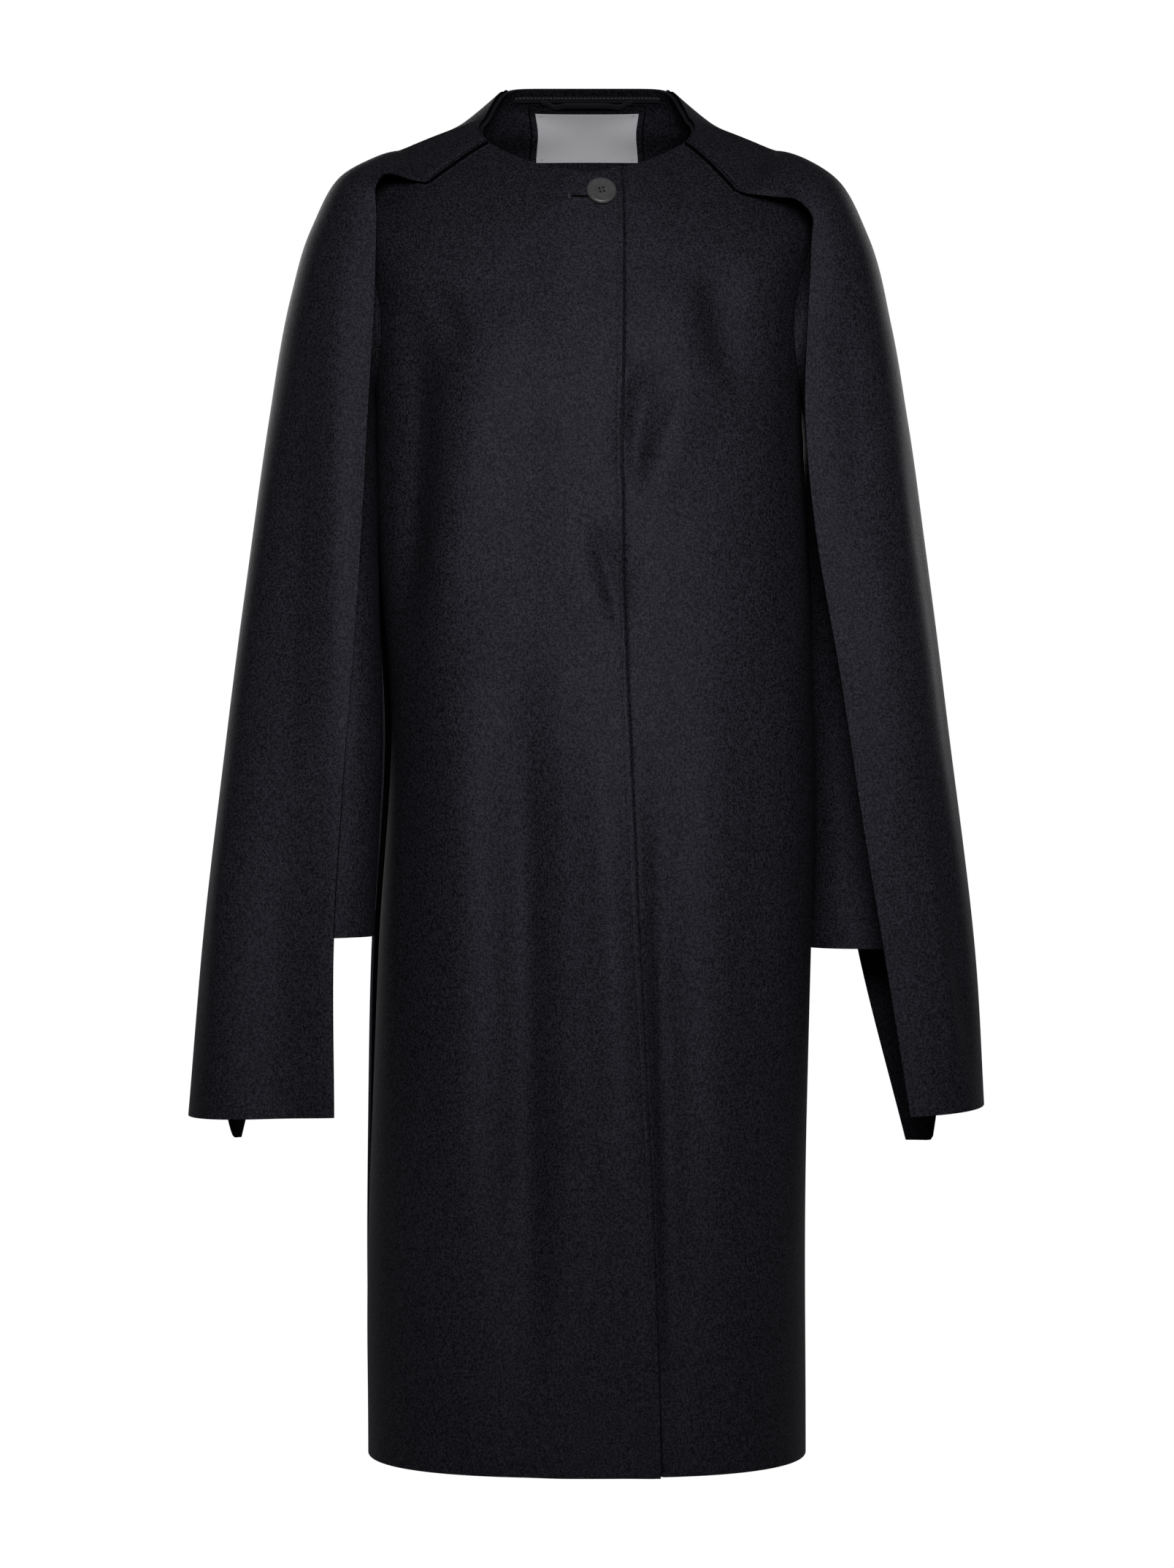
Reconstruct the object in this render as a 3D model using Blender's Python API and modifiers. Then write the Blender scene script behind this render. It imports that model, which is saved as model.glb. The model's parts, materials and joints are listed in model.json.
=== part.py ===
"""Scarf coat: a collarless one-button coat in pressed wool, with a scarf panel over each shoulder.

Metres. +X is the wearer's left, -Y is the front and +Z is up. The origin lies between the
wearer's shoulders, at the height of the neck. Every cloth piece is a wall between an outer and
an inner sheet of points.
"""

import math
from collections import namedtuple

import bmesh
import bpy
import numpy as np
from mathutils import Matrix, Vector

# Cloth
CLOTH = 0.0022
SEAM_GAP = 0.0003
LAP_GAP = 0.0005
TRIM_GAP = 0.0011
ARMHOLE_GAP = 0.0010
RIGHT, LEFT = -1, 1

# Body: rings from the hem to the neck, each level or tilted
Ring = namedtuple(
    "Ring",
    "name half_width front_depth back_depth front_z side_z back_z front_square back_square"
    " front_bulge back_taper",
)
BODY_RINGS = [
    Ring("hem", 0.1800, 0.135, 0.125, -1.066, -1.066, -1.066, 2.5, 2.5, 0, 0),
    Ring("low_hip", 0.1805, 0.134, 0.125, -0.850, -0.850, -0.850, 2.5, 2.5, 0, 0),
    Ring("wrist", 0.1800, 0.132, 0.123, -0.650, -0.650, -0.650, 2.5, 2.5, 0, 0),
    Ring("waist", 0.1760, 0.130, 0.119, -0.450, -0.450, -0.450, 2.5, 2.5, 0, 0),
    Ring("bust", 0.1745, 0.130, 0.119, -0.300, -0.300, -0.300, 2.5, 2.5, 0, 0),
    Ring("underarm", 0.1735, 0.127, 0.119, -0.215, -0.205, -0.215, 2.4, 2.4, 0, 0),
    Ring("upper_chest", 0.1800, 0.122, 0.118, -0.168, -0.115, -0.150, 2.2, 2.3, 0, 0),
    Ring("shoulder_end", 0.1845, 0.114, 0.114, -0.130, -0.029, -0.088, 2.0, 2.2, 0, 0),
    Ring("shoulder", 0.1645, 0.108, 0.108, -0.104, -0.009, -0.042, 2.0, 2.2, 0, 0),
    Ring("sewn_end", 0.1410, 0.102, 0.099, -0.081, 0.002, -0.002, 2.0, 2.4, 0, 0),
    Ring("neck_base", 0.1028, 0.092, 0.080, -0.050, 0.0168, 0.0425, 1.75, 3.4, 0.08, 0.06),
    Ring("neck", 0.0820, 0.085, 0.062, -0.0345, 0.0240, 0.062, 1.5, 10.0, 0.18, 0.155),
]
RING_SAMPLES = 241
SIDE_LEAN = 0.05
SIDE_LEAN_Z = -0.49
SIDE_LEAN_SPAN = 0.14

# Front edges, as the distance right or left of the centre line
OVER_EDGE_AT_NECK = 0.0285
OVER_EDGE_AT_BUST = 0.0270
OVER_EDGE_AT_HEM = 0.0575
UNDER_EDGE = -0.008
LAP_RAMP = 0.045

# Scarf seam on the body, as a share of the way from the side to the centre front or back
FRONT_SEAM_SHARE = {RIGHT: (0.41, 0.44), LEFT: (0.42, 0.54)}
BACK_SEAM_SHARE = (0.80, 0.50)
SCARF_NECK_INSET = 0.0015

# Armhole
ARMHOLE_FRONT = 0.058
ARMHOLE_BACK = 0.066

# Sleeve: the outer and the inner line of the arm, x outwards from the centre of the coat
Sleeve = namedtuple("Sleeve", "outer_x outer_z inner_x inner_z half_depth square")
SLEEVE_ROWS = [
    Sleeve(0.2050, -0.044, 0.1785, -0.214, 0.0690, 2.0),
    Sleeve(0.2270, -0.085, 0.1805, -0.236, 0.0670, 2.0),
    Sleeve(0.2420, -0.150, 0.1810, -0.268, 0.0640, 2.1),
    Sleeve(0.2540, -0.235, 0.1825, -0.320, 0.0600, 2.2),
    Sleeve(0.2650, -0.340, 0.1840, -0.400, 0.0560, 2.2),
    Sleeve(0.2740, -0.460, 0.1870, -0.490, 0.0520, 2.2),
    Sleeve(0.2800, -0.560, 0.1870, -0.570, 0.0500, 2.2),
    Sleeve(0.2800, -0.651, 0.1840, -0.651, 0.0480, 2.2),
]
SLEEVE_TOP_Z = -0.12
SLEEVE_HEM_Z = -0.651
WRIST_FORWARD = {RIGHT: 0.078, LEFT: -0.042}
FORWARD_POWER = {RIGHT: 0.85, LEFT: 0.5}
SLEEVE_STRETCH = {RIGHT: 0.984, LEFT: 1.010}
ELBOW_PLACES = (0.0, 0.50, 0.72, 1.0)
ELBOW_IN = {RIGHT: (0.0, 0.0150, 0.0225, 0.0140), LEFT: (0.0, 0.0030, 0.0030, 0.0)}

# Scarf: stations from the end of the seam down the arm, by front edge, outer fold and back edge.
# Its free end steps down to a longer back flap, part of the way from the fold to the back edge.
FLAP_STEP = {RIGHT: (0.50, 0.80), LEFT: (0.50, 0.62)}
Station = namedtuple(
    "Station",
    "front_x front_y front_z outer_x outer_y outer_z back_x back_y back_z front_square back_square",
)
SCARF_STATIONS = {
    RIGHT: [
        Station(0.1385, -0.046, -0.033, 0.1580, 0.002, -0.0017, 0.147, 0.056, -0.012, 2.0, 2.2),
        Station(0.1600, -0.064, -0.030, 0.1820, 0.003, -0.0125, 0.164, 0.072, -0.030, 2.3, 2.2),
        Station(0.1680, -0.079, -0.041, 0.2040, 0.002, -0.0275, 0.172, 0.082, -0.052, 2.4, 2.3),
        Station(0.1680, -0.084, -0.070, 0.2260, 0.000, -0.069, 0.173, 0.087, -0.082, 2.5, 2.4),
        Station(0.1690, -0.090, -0.129, 0.2412, -0.004, -0.123, 0.173, 0.089, -0.134, 2.5, 2.4),
        Station(0.1735, -0.099, -0.223, 0.2592, -0.012, -0.225, 0.174, 0.088, -0.228, 2.5, 2.4),
        Station(0.1815, -0.112, -0.380, 0.2808, -0.024, -0.378, 0.183, 0.082, -0.382, 2.5, 2.4),
        Station(0.1920, -0.127, -0.525, 0.2966, -0.036, -0.525, 0.214, 0.072, -0.530, 2.5, 2.3),
        Station(0.1985, -0.137, -0.640, 0.3103, -0.045, -0.643, 0.250, 0.062, -0.652, 2.5, 2.2),
        Station(0.1980, -0.141, -0.7825, 0.3218, -0.050, -0.787, 0.2885, 0.050, -0.816, 2.5, 2.2),
    ],
    LEFT: [
        Station(0.1500, -0.064, -0.049, 0.1600, 0.002, -0.0025, 0.149, 0.056, -0.014, 2.1, 2.2),
        Station(0.1670, -0.076, -0.053, 0.1840, 0.003, -0.0127, 0.165, 0.073, -0.032, 2.3, 2.2),
        Station(0.1785, -0.083, -0.065, 0.2060, 0.002, -0.0290, 0.173, 0.083, -0.054, 2.4, 2.3),
        Station(0.1790, -0.086, -0.088, 0.2300, 0.001, -0.0725, 0.174, 0.089, -0.086, 2.5, 2.4),
        Station(0.1755, -0.089, -0.158, 0.2508, 0.003, -0.147, 0.175, 0.093, -0.154, 2.5, 2.4),
        Station(0.1735, -0.093, -0.223, 0.2643, 0.006, -0.225, 0.177, 0.097, -0.228, 2.5, 2.4),
        Station(0.1810, -0.098, -0.316, 0.2775, 0.010, -0.320, 0.183, 0.101, -0.322, 2.5, 2.4),
        Station(0.2005, -0.100, -0.432, 0.2916, 0.014, -0.430, 0.195, 0.104, -0.432, 2.5, 2.4),
        Station(0.2220, -0.098, -0.571, 0.3093, 0.017, -0.570, 0.214, 0.104, -0.575, 2.5, 2.3),
        Station(0.2360, -0.094, -0.653, 0.3186, 0.018, -0.655, 0.2305, 0.101, -0.664, 2.5, 2.3),
        Station(0.2580, -0.088, -0.787, 0.3264, 0.018, -0.783, 0.2695, 0.088, -0.822, 2.5, 2.3),
    ],
}

# Long folds of the body: x from the centre at the top and the foot, height range, half width and depth.
# A depth below 0 makes a ridge.
Fold = namedtuple("Fold", "face top_x foot_x top_z foot_z half_width depth")
BODY_FOLDS = [
    Fold("front", -0.056, -0.046, -0.40, -1.00, 0.026, 0.0080),
    Fold("front", -0.146, -0.164, -0.10, -0.95, 0.034, 0.0090),
    Fold("front", 0.018, 0.034, -0.42, -1.00, 0.040, -0.0070),
    Fold("front", 0.054, 0.070, -0.56, -1.06, 0.018, 0.0045),
    Fold("front", 0.064, 0.040, -0.19, -0.30, 0.020, 0.0045),
    Fold("front", 0.138, 0.142, -0.30, -0.90, 0.026, 0.0020),
    Fold("back", -0.085, -0.095, -0.22, -1.00, 0.030, 0.0055),
    Fold("back", 0.020, 0.012, -0.35, -1.02, 0.030, 0.0050),
    Fold("back", 0.098, 0.104, -0.20, -0.96, 0.028, 0.0055),
]

# Grid of the panels
CENTRE_COLUMNS = 8
SEAM_COLUMNS = 8
BACK_COLUMNS = 14
YOKE_ROWS = 7
CAP_ROWS = 2
ARMHOLE_ROWS = 10
SKIRT_ROWS = 14
SLEEVE_TUBE_ROWS = 15
SCARF_ROWS = 22

# Button
BUTTON_X = 0.0112
BUTTON_Z = -0.0520
BUTTON_RADIUS = 0.0120
BUTTON_THICK = 0.0034
BUTTON_RIM_DROP = 0.0009
BUTTON_DISH = 0.0004
BUTTON_LIFT = 0.0006
BUTTON_HOLE = 0.0008
BUTTON_HOLE_SPACING = 0.0034
BUTTON_TURN = 12

# Trim inside the back neck: heights are measured down the centre back from the neck edge
TAPE_TOP = 0.0055
TAPE_HEIGHT = 0.0060
TAPE_HALF_LENGTH = 0.0620
TAPE_THICK = 0.0010
PATCH_TOP = 0.0150
PATCH_HEIGHT = 0.0620
PATCH_HALF_WIDTH = 0.0490
PATCH_THICK = 0.0012
LABEL_TOP = 0.0225
LABEL_HEIGHT = 0.0440
LABEL_HALF_WIDTH = 0.0440
LABEL_THICK = 0.0008
LOOP_TOP = 0.0075
LOOP_HEIGHT = 0.0050
LOOP_HALF_LENGTH = 0.0385
LOOP_STAND = 0.0050
LOOP_DIP = 0.0040
LOOP_THICK = 0.0012


def step_up(low, high, value):
    """0 below low, 1 above high and a smooth rise between."""
    t = np.clip((value - low) / (high - low), 0, 1)
    return t * t * (3 - 2 * t)


def curve_through(knots, rows, at):
    """Rows of numbers read at any place between their knots, on a smooth curve through them."""
    knots = np.asarray(knots, float)
    rows = np.asarray(rows, float)
    at = np.asarray(at, float)
    shape = (-1,) + (1,) * (rows.ndim - 1)
    step = np.diff(knots)
    slope = np.diff(rows, axis=0) / step.reshape(shape)
    tangent = np.empty_like(rows)
    tangent[0], tangent[-1] = slope[0], slope[-1]
    before, after = step[:-1].reshape(shape), step[1:].reshape(shape)
    tangent[1:-1] = (slope[:-1] * after + slope[1:] * before) / (before + after)
    k = np.clip(np.searchsorted(knots, at, side="right") - 1, 0, len(knots) - 2)
    h = step[k].reshape(shape)
    t = ((at - knots[k]) / step[k]).reshape(shape)
    start = rows[k] * (1 + 2 * t) * (1 - t) ** 2 + tangent[k] * h * t * (1 - t) ** 2
    end = rows[k + 1] * t * t * (3 - 2 * t) - tangent[k + 1] * h * t * t * (1 - t)
    return start + end


def unit(vectors):
    return vectors / np.maximum(np.linalg.norm(vectors, axis=-1, keepdims=True), 1e-12)


RING_VALUES = np.array([ring[1:] for ring in BODY_RINGS])
RING_LEVELS = np.concatenate(
    [[0], np.cumsum(np.linalg.norm(np.diff(RING_VALUES[:, [0, 1, 3, 4]], axis=0), axis=1))]
)
LEVEL = {ring.name: level for ring, level in zip(BODY_RINGS, RING_LEVELS)}
TOP_LEVEL = LEVEL["neck"]


def half_ring(level):
    """Half of the body's ring from centre front to centre back.

    Gives the shares of its length, its points, its length and the share at the side.
    """
    values = curve_through(RING_LEVELS, RING_VALUES, [level])[0]
    width, front_depth, back_depth, front_z, side_z, back_z = values[:6]
    front_square, back_square, front_bulge, back_taper = values[6:]
    turn = np.linspace(-math.pi / 2, math.pi / 2, RING_SAMPLES)
    in_front = turn < 0
    power = 2 / np.where(in_front, front_square, back_square)
    share = np.abs(np.sin(turn)) ** power
    fuller = np.where(in_front, 1 + front_bulge * 4 * share * (1 - share), 1 - back_taper * share)
    x = width * np.maximum(np.cos(turn), 0) ** power * fuller
    y = np.where(in_front, -front_depth, back_depth) * share
    z = side_z + (np.where(in_front, front_z, back_z) - side_z) * share
    points = np.stack([x, y, z], axis=1)
    run = np.concatenate([[0], np.cumsum(np.linalg.norm(np.diff(points, axis=0), axis=1))])
    return run / run[-1], points, run[-1], run[RING_SAMPLES // 2] / run[-1]


def base_points(around, level):
    """Points of the plain body at signed shares around it: 0 is centre front, 1 and -1 are centre back."""
    shares, points, _, _ = half_ring(level)
    around = np.asarray(around, float)
    folded = 1 - np.abs(1 - np.abs(around))
    side = np.where(np.abs(around) > 1, -np.sign(around), np.sign(around))
    found = np.stack([np.interp(folded, shares, points[:, k]) for k in range(3)], axis=-1)
    lean = SIDE_LEAN * np.exp(-(((found[..., 2] - SIDE_LEAN_Z) / SIDE_LEAN_SPAN) ** 2))
    found[..., 0] *= np.where(side == 0, 1, side) * (1 + side * lean)
    return found


def base_normals(around, level):
    """Outward normals of the plain body."""
    around = np.asarray(around, float)
    low, high = max(level - 0.004, 0), min(level + 0.004, TOP_LEVEL)
    along = base_points(around + 0.012, level) - base_points(around - 0.012, level)
    up = base_points(around, high) - base_points(around, low)
    return unit(np.cross(along, up))


def seam_share(level, y_share, face):
    """The share around the ring at which it stands this far from the side towards the front or the back."""
    shares, points, _, _ = half_ring(level)
    depth = points[0, 1] if face == "front" else points[-1, 1]
    return float(np.interp(y_share * depth, points[:, 1], shares))


def side_share(level):
    return half_ring(level)[3]


def share_of(distance, level):
    """A distance round the ring from the centre front, as a share of half the ring."""
    return distance / half_ring(level)[2]


def fold_height(points):
    """How far the long folds move these points of the plain body along its normals."""
    height = np.zeros(points.shape[:-1])
    for fold in BODY_FOLDS:
        facing = points[..., 1] < 0 if fold.face == "front" else points[..., 1] > 0
        down = np.clip((fold.top_z - points[..., 2]) / (fold.top_z - fold.foot_z), -0.2, 1.2)
        middle = fold.top_x + (fold.foot_x - fold.top_x) * down
        across = np.exp(-(((points[..., 0] - middle) / fold.half_width) ** 2))
        length = step_up(-0.05, 0.30, down) * (1 - step_up(0.65, 1.05, down))
        height -= np.where(facing, fold.depth * across * length, 0)
    return height


def body_sheet(around, level, height):
    """Points at a height above the folded body."""
    points = base_points(around, level)
    return points + base_normals(around, level) * (fold_height(points) + height)[..., None]


def armhole_place(level):
    """0 at the underarm and 1 at the shoulder end."""
    return (level - LEVEL["underarm"]) / (LEVEL["shoulder_end"] - LEVEL["underarm"])


def armhole_half_width(level):
    place = armhole_place(level)
    return math.sqrt(max(0, 1 - (2 * place - 1) ** 2)) if 0 < place < 1 else 0


def panel_edge(level, face):
    """Where the front's or the back's outer edge runs: the side seam, the armhole, then the shoulder seam."""
    opening = ARMHOLE_FRONT if face == "front" else -ARMHOLE_BACK
    gap = SEAM_GAP / 2 if face == "front" else -SEAM_GAP / 2
    return side_share(level) - share_of(opening * armhole_half_width(level) + gap, level)


def panel_levels():
    """Levels of the panels' rows from the hem to the neck."""
    half_turn = np.linspace(0, math.pi, ARMHOLE_ROWS + 1)
    skirt = np.linspace(0, LEVEL["underarm"], SKIRT_ROWS + 1)[:-1]
    rise = LEVEL["shoulder_end"] - LEVEL["underarm"]
    armhole = LEVEL["underarm"] + rise * (1 - np.cos(half_turn)) / 2
    cap = np.linspace(LEVEL["shoulder_end"], LEVEL["sewn_end"], CAP_ROWS + 1)[1:-1]
    yoke = np.linspace(LEVEL["sewn_end"], TOP_LEVEL, YOKE_ROWS + 1)
    return np.concatenate([skirt, armhole, cap, yoke])


def seam_line(level, side, face):
    """The scarf seam's share around the ring at this level of the yoke."""
    up = np.clip((level - LEVEL["sewn_end"]) / (TOP_LEVEL - LEVEL["sewn_end"]), 0, 1)
    at_neck, at_end = FRONT_SEAM_SHARE[side] if face == "front" else BACK_SEAM_SHARE
    return seam_share(level, at_end + (at_neck - at_end) * up, face)


def front_columns(level, side, centre):
    """Shares around the ring for a front's columns, from its centre edge to its outer edge."""
    edge = panel_edge(level, "front")
    even = np.linspace(centre, edge, CENTRE_COLUMNS + SEAM_COLUMNS + 1)
    seam = seam_line(level, side, "front")
    split = np.concatenate(
        [np.linspace(centre, seam, CENTRE_COLUMNS + 1), np.linspace(seam, edge, SEAM_COLUMNS + 1)[1:]]
    )
    on_yoke = step_up(LEVEL["shoulder_end"], LEVEL["sewn_end"], level)
    return even + (split - even) * on_yoke


def back_half_columns(level):
    """Shares around the ring for half of the back, from its outer edge to the centre back."""
    edge = panel_edge(level, "back")
    half = BACK_COLUMNS // 2
    even = np.linspace(edge, 1, SEAM_COLUMNS + half + 1)
    seam = seam_line(level, LEFT, "back")
    split = np.concatenate(
        [np.linspace(edge, seam, SEAM_COLUMNS + 1), np.linspace(seam, 1, half + 1)[1:]]
    )
    on_yoke = step_up(LEVEL["shoulder_end"], LEVEL["sewn_end"], level)
    return even + (split - even) * on_yoke


def over_edge(level):
    """Distance of the right front's edge past the centre line."""
    z = base_points(0.0, level)[2]
    down = step_up(-0.30, -1.10, z)
    top = step_up(-0.30, -0.03, z)
    return OVER_EDGE_AT_BUST + (OVER_EDGE_AT_HEM - OVER_EDGE_AT_BUST) * down + (
        OVER_EDGE_AT_NECK - OVER_EDGE_AT_BUST
    ) * top


def new_object(name, mesh, material):
    obj = bpy.data.objects.new(name, mesh)
    mesh.materials.append(material)
    COAT.objects.link(obj)
    obj.parent = ORIGIN
    return obj


def loft_wall(name, outer, inner, material, closed=False, turn_from=None):
    """A wall between two sheets of points with equal rows and columns, closed at its edges."""
    rows, columns = outer.shape[:2]
    points = np.concatenate([outer.reshape(-1, 3), inner.reshape(-1, 3)])
    spans = columns if closed else columns - 1

    def at(sheet, row, column):
        return sheet * rows * columns + row * columns + column % columns

    faces = []
    for row in range(rows - 1):
        for column in range(spans):
            corners = [(row, column), (row, column + 1), (row + 1, column + 1), (row + 1, column)]
            if turn_from is not None and column >= turn_from:
                corners = corners[1:] + corners[:1]
            faces.append([at(0, *corner) for corner in corners])
            faces.append([at(1, *corners[k]) for k in (0, 3, 2, 1)])
    for row in (0, rows - 1):
        for column in range(spans):
            near, far = (row, column), (row, column + 1)
            faces.append([at(0, *near), at(0, *far), at(1, *far), at(1, *near)])
    if not closed:
        for column in (0, columns - 1):
            for row in range(rows - 1):
                near, far = (row, column), (row + 1, column)
                faces.append([at(0, *near), at(0, *far), at(1, *far), at(1, *near)])
    mesh = bpy.data.meshes.new(name)
    mesh.from_pydata(points.tolist(), [], faces)
    shell = bmesh.new()
    shell.from_mesh(mesh)
    bmesh.ops.recalc_face_normals(shell, faces=shell.faces)
    for face in shell.faces:
        face.smooth = True
    shell.to_mesh(mesh)
    shell.free()
    return new_object(name, mesh, material)


def own_normals(sheet, closed, outward):
    """Normals of a sheet of points, turned to the side that the outward vectors point to."""
    if closed:
        along = np.roll(sheet, -1, axis=1) - np.roll(sheet, 1, axis=1)
    else:
        along = np.gradient(sheet, axis=1)
    normals = unit(np.cross(along, np.gradient(sheet, axis=0)))
    return normals * np.sign((normals * outward).sum(axis=-1).mean())


def front_panel(name, side):
    """A front: the right one reaches over the left one and lies on top of it."""
    outer, inner = [], []
    for level in panel_levels():
        centre = -over_edge(level) if side == RIGHT else UNDER_EDGE
        columns = front_columns(level, side, share_of(centre, level))
        height = np.zeros_like(columns)
        if side == RIGHT:
            under = share_of(-UNDER_EDGE, level)
            ramp = share_of(LAP_RAMP, level)
            height = (CLOTH + TRIM_GAP) * (1 - step_up(under + 0.15 * ramp, under + ramp, columns))
        outer.append(body_sheet(side * columns, level, height))
        inner.append(body_sheet(side * columns, level, height - CLOTH))
    return loft_wall(name, np.array(outer), np.array(inner), WOOL)


def back_panel(name):
    outer, inner = [], []
    for level in panel_levels():
        half = back_half_columns(level)
        columns = np.concatenate([half, 2 - half[::-1][1:]])
        outer.append(body_sheet(columns, level, np.zeros_like(columns)))
        inner.append(body_sheet(columns, level, np.full_like(columns, -CLOTH)))
    centre = SEAM_COLUMNS + BACK_COLUMNS // 2
    return loft_wall(name, np.array(outer), np.array(inner), WOOL, turn_from=centre)


def armhole_ring(side):
    """The sleeve's first ring, just inside the armhole: shoulder end, front edge, underarm, back edge."""
    rise = LEVEL["shoulder_end"] - LEVEL["underarm"]
    middle = LEVEL["underarm"] + rise / 2
    ring = []
    for turn in np.linspace(0, 2 * math.pi, 2 * ARMHOLE_ROWS + 1)[:-1]:
        level = middle + (rise / 2 - ARMHOLE_GAP) * math.cos(turn)
        opening = ARMHOLE_FRONT if turn < math.pi else ARMHOLE_BACK
        share = side_share(level) - share_of((opening - ARMHOLE_GAP) * math.sin(turn), level)
        ring.append(body_sheet(np.array([side * share]), level, np.zeros(1))[0])
    return np.array(ring)


def sleeve_section(row, side):
    """A closed section of the sleeve, from the outer line by way of the front."""
    outer = np.array([row.outer_x, 0, row.outer_z])
    inner = np.array([row.inner_x, 0, row.inner_z])
    turn = np.linspace(0, 2 * math.pi, 2 * ARMHOLE_ROWS + 1)[:-1, None]
    power = 2 / row.square
    across = np.sign(np.cos(turn)) * np.abs(np.cos(turn)) ** power
    forward = np.sign(np.sin(turn)) * np.abs(np.sin(turn)) ** power
    points = (outer + inner) / 2 + across * (outer - inner) / 2 - forward * np.array([0, row.half_depth, 0])
    down = np.clip((SLEEVE_TOP_Z - points[:, 2]) / (SLEEVE_TOP_Z - SLEEVE_HEM_Z), 0, 1)
    points[:, 1] -= WRIST_FORWARD[side] * down ** FORWARD_POWER[side]
    points[:, 0] -= curve_through(ELBOW_PLACES, ELBOW_IN[side], down)
    below = np.minimum(points[:, 2] - SLEEVE_TOP_Z, 0)
    points[:, 2] += below * (SLEEVE_STRETCH[side] - 1)
    points[:, 0] *= side
    return points


def resampled(rows, count, start=0):
    """Sections through the given ones, evenly spaced along the sheet from one of them on."""
    rows = np.array(rows)
    steps = np.linalg.norm(np.diff(rows, axis=0), axis=2).mean(axis=1)
    run = np.concatenate([[0], np.cumsum(steps)])
    return curve_through(run, rows, np.linspace(run[start], run[-1], count + 1))


def sleeve(name, side):
    sections = [armhole_ring(side)] + [sleeve_section(row, side) for row in SLEEVE_ROWS]
    outer = resampled(sections, SLEEVE_TUBE_ROWS)
    middle = outer.mean(axis=1, keepdims=True)
    normals = own_normals(outer, True, outer - middle)
    return loft_wall(name, outer, outer - normals * CLOTH, WOOL, closed=True)


def scarf_station(station, side):
    """A section of the hanging scarf from its front edge over the outer fold to its back edge."""
    front = np.array([station.front_x, station.front_y, station.front_z])
    fold = np.array([station.outer_x, station.outer_y, station.outer_z])
    back = np.array([station.back_x, station.back_y, station.back_z])
    turn = np.linspace(0, math.pi / 2, SEAM_COLUMNS + 1)[:, None]
    flap = step_up(-0.50, -0.78, station.outer_z)

    def quarter(edge, square, flap):
        reach = np.sin(turn) ** (2 / square)
        drop = 1 - np.maximum(np.cos(turn), 0) ** (2 / square)
        step = edge - fold
        fall = drop + (step_up(*FLAP_STEP[side], drop) - drop) * flap
        return fold + np.concatenate([drop * step[0], reach * step[1], fall * step[2]], axis=1)

    to_front = quarter(front, station.front_square, 0)
    to_back = quarter(back, station.back_square, flap)
    points = np.concatenate([to_front[::-1], to_back[1:]])
    points[:, 0] *= side
    return points


def scarf_yoke_columns(level, side):
    """Shares around the ring where the scarf lies on the yoke, from its front seam to its back seam."""
    to_side = np.linspace(seam_line(level, side, "front"), side_share(level), SEAM_COLUMNS + 1)
    to_back = np.linspace(side_share(level), seam_line(level, side, "back"), SEAM_COLUMNS + 1)
    return side * np.concatenate([to_side, to_back[1:]])


def scarf(name, side):
    """The scarf panel, from its free end up the arm and over the shoulder to the neck."""
    yoke_levels = np.linspace(LEVEL["sewn_end"], TOP_LEVEL, YOKE_ROWS + 1)
    yoke_levels[-1] -= SCARF_NECK_INSET
    lying, lying_normals = [], []
    for level in yoke_levels:
        columns = scarf_yoke_columns(level, side)
        lying.append(body_sheet(columns, level, np.full_like(columns, LAP_GAP + CLOTH)))
        lying_normals.append(base_normals(columns, level))
    stations = [scarf_station(station, side) for station in SCARF_STATIONS[side]]
    key_rows = lying[::-1] + stations
    hanging = resampled(key_rows, SCARF_ROWS, start=YOKE_ROWS)
    outer = np.concatenate([hanging[::-1][:-1], np.array(lying)])
    outward = np.zeros_like(outer)
    outward[..., 0] = side
    outward[..., 2] = 0.5
    normals = own_normals(outer, False, outward)
    normals[SCARF_ROWS:] = np.array(lying_normals)
    normals[SCARF_ROWS - 1] = unit(normals[SCARF_ROWS - 1] + normals[SCARF_ROWS])
    return loft_wall(name, outer, outer - normals * CLOTH, WOOL)


def back_neck_levels():
    """Distances down the centre back from the neck edge, with the levels they stand for."""
    levels = np.linspace(TOP_LEVEL, LEVEL["shoulder_end"], 60)
    line = np.array([base_points(1.0, level) for level in levels])
    run = np.concatenate([[0], np.cumsum(np.linalg.norm(np.diff(line, axis=0), axis=1))])
    return run, levels


def back_neck_point(across, down, depth):
    """A point inside the back neck, by its place across, down from the edge and in from the outer face."""
    run, levels = back_neck_levels()
    level = float(np.interp(down, run, levels))
    share = 1 - share_of(across, level)
    return body_sheet(np.array([share]), level, np.array([-depth]))[0]


def inner_trim(name, half_width, top, height, depth, thick, material, columns, rows):
    """A flat piece inside the back neck, made from the back's points moved in."""
    across = np.linspace(-half_width, half_width, columns + 1)
    down = np.linspace(top + height, top, rows + 1)
    near = [[back_neck_point(a, d, depth) for a in across] for d in down]
    far = [[back_neck_point(a, d, depth + thick) for a in across] for d in down]
    return loft_wall(name, np.array(near), np.array(far), material)


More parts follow.
